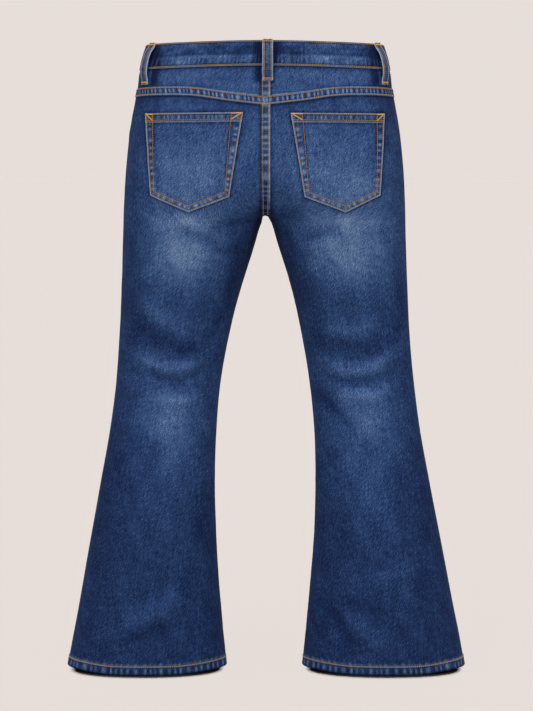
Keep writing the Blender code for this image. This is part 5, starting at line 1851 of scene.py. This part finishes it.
for side in ("left", "right"):
    outer_line, inner_line = outer_row(side), inner_row(side)
    rows = [on_pocket(side, shortened(outer_line)), on_pocket(side, shortened(inner_line))]
    for depth in (FIRST_ROW, SECOND_ROW):
        rows.append(on_pocket(side, [outer_line[0] - (0, depth), outer_line[-1] - (0, depth)]))
    row_of_stitches(f"stitches_pocket_{side}", rows, f"back_pocket_{side}")
    corners = []
    for rim, second in ((outer_line[0], inner_line[0]), (outer_line[-1], inner_line[-1])):
        start, end = rim - (0, 0.0016), second - (0, 0.0108)
        for low, wide in ((end, 0.0011), (second - (0, FIRST_ROW), 0.0010)):
            corners.append(on_pocket(side, zigzag(start, low, wide), TACK_LIFT, 0.0008))
    tacks(f"tacks_pocket_{side}", corners, f"back_pocket_{side}")


def loop_rows(name):
    """A row beside each edge of a loop."""
    path, level, away, _ = LOOP_FRAMES[name]
    rise = away * (LOOP_CLOTH + 0.00005)
    return [path + rise + level * across for across in (-LOOP_ROW, LOOP_ROW)]


def loop_tacks(name):
    """A bar tack across each end of a loop."""
    path, level, away, heights = LOOP_FRAMES[name]
    lines = []
    for place in (heights[0] + 0.0030, heights[-1] - 0.0032):
        flat = zigzag((-LOOP_WIDTH / 2 + 0.001, place), (LOOP_WIDTH / 2 - 0.001, place), 0.0019)
        line = []
        for across, height in flat:
            here = [np.interp(height, heights, values) for values in path.T]
            out = [np.interp(height, heights, values) for values in away.T]
            line.append(np.array(here) + np.array(out) * (LOOP_CLOTH + 0.0002) + level * across)
        lines.append(np.array(line))
    return lines


for name in LOOP_FRAMES:
    row_of_stitches(f"stitches_{name}", loop_rows(name), name)
    tacks(f"tacks_{name}", loop_tacks(name), name)

# %% [markdown]
# ## Rows on the front
# The front has its own rows: two along each pocket scoop, two down the fly and round its foot, and
# two on the left of the seam from there to the crotch.

# %% Front rows
def on_front(across, height, extra):
    points, normals, _ = front_at(np.asarray(across, float), np.asarray(height, float))
    return points + normals * extra


def fly_row(inset_by):
    """A row down the fly and round its foot, this far inside its edge."""
    height = np.linspace(FLY_TOP - 0.002, FLY_FOOT + 0.001 + inset_by, 160)
    edge = fly_edge(height - inset_by * 0.6) - inset_by
    return on_front(np.maximum(edge, 0.0005), height, GAP + CLOTH + STITCH_LIFT)


row_of_stitches("stitches_fly", [fly_row(0.0022), fly_row(0.0082)], "fly")
for side in ("left", "right"):
    scoop = np.linspace(1 - (SCOOP_FROM_CENTRE + 0.0016) / FRONT_ROW, 0.006, 120)
    rows = []
    for depth in (FIRST_ROW, 0.0082):
        under = front_top(scoop) - depth
        turned = SCOOP_TURN * ease((SCOOP_SHARE - scoop) / 0.03)
        rows.append(along_panel(side, "front", under, scoop, turned + STITCH_LIFT))
    row_of_stitches(f"stitches_scoop_{side}", rows, f"front_leg_{side}")
levels = np.linspace(CROTCH_ROW + 0.020, FLY_FOOT - 0.002, 60)
rise_rows = [
    along_panel("left", "front", levels, 1 - distance / row_length("front", levels))
    for distance in (FIRST_ROW, 0.0080)
]
row_of_stitches("stitches_front_rise", rise_rows, "front_leg_left")

# %% [markdown]
# ## The cloth's flat sizes
# A piece of cloth has a flat size that never changes, however it hangs. Each piece's flat width,
# length and area are kept in CUTS as it is made; here the pieces and sets of stitches are counted.

# %% Flat sizes
for name, (width, length, area) in CUTS.items():
    ending = name[name.rindex("_") :] if name.endswith(("_left", "_right")) else ""
print(len(CUTS), "sheets, and", sum(len(pieces) for pieces in ROWS.values()), "sets of stitches")
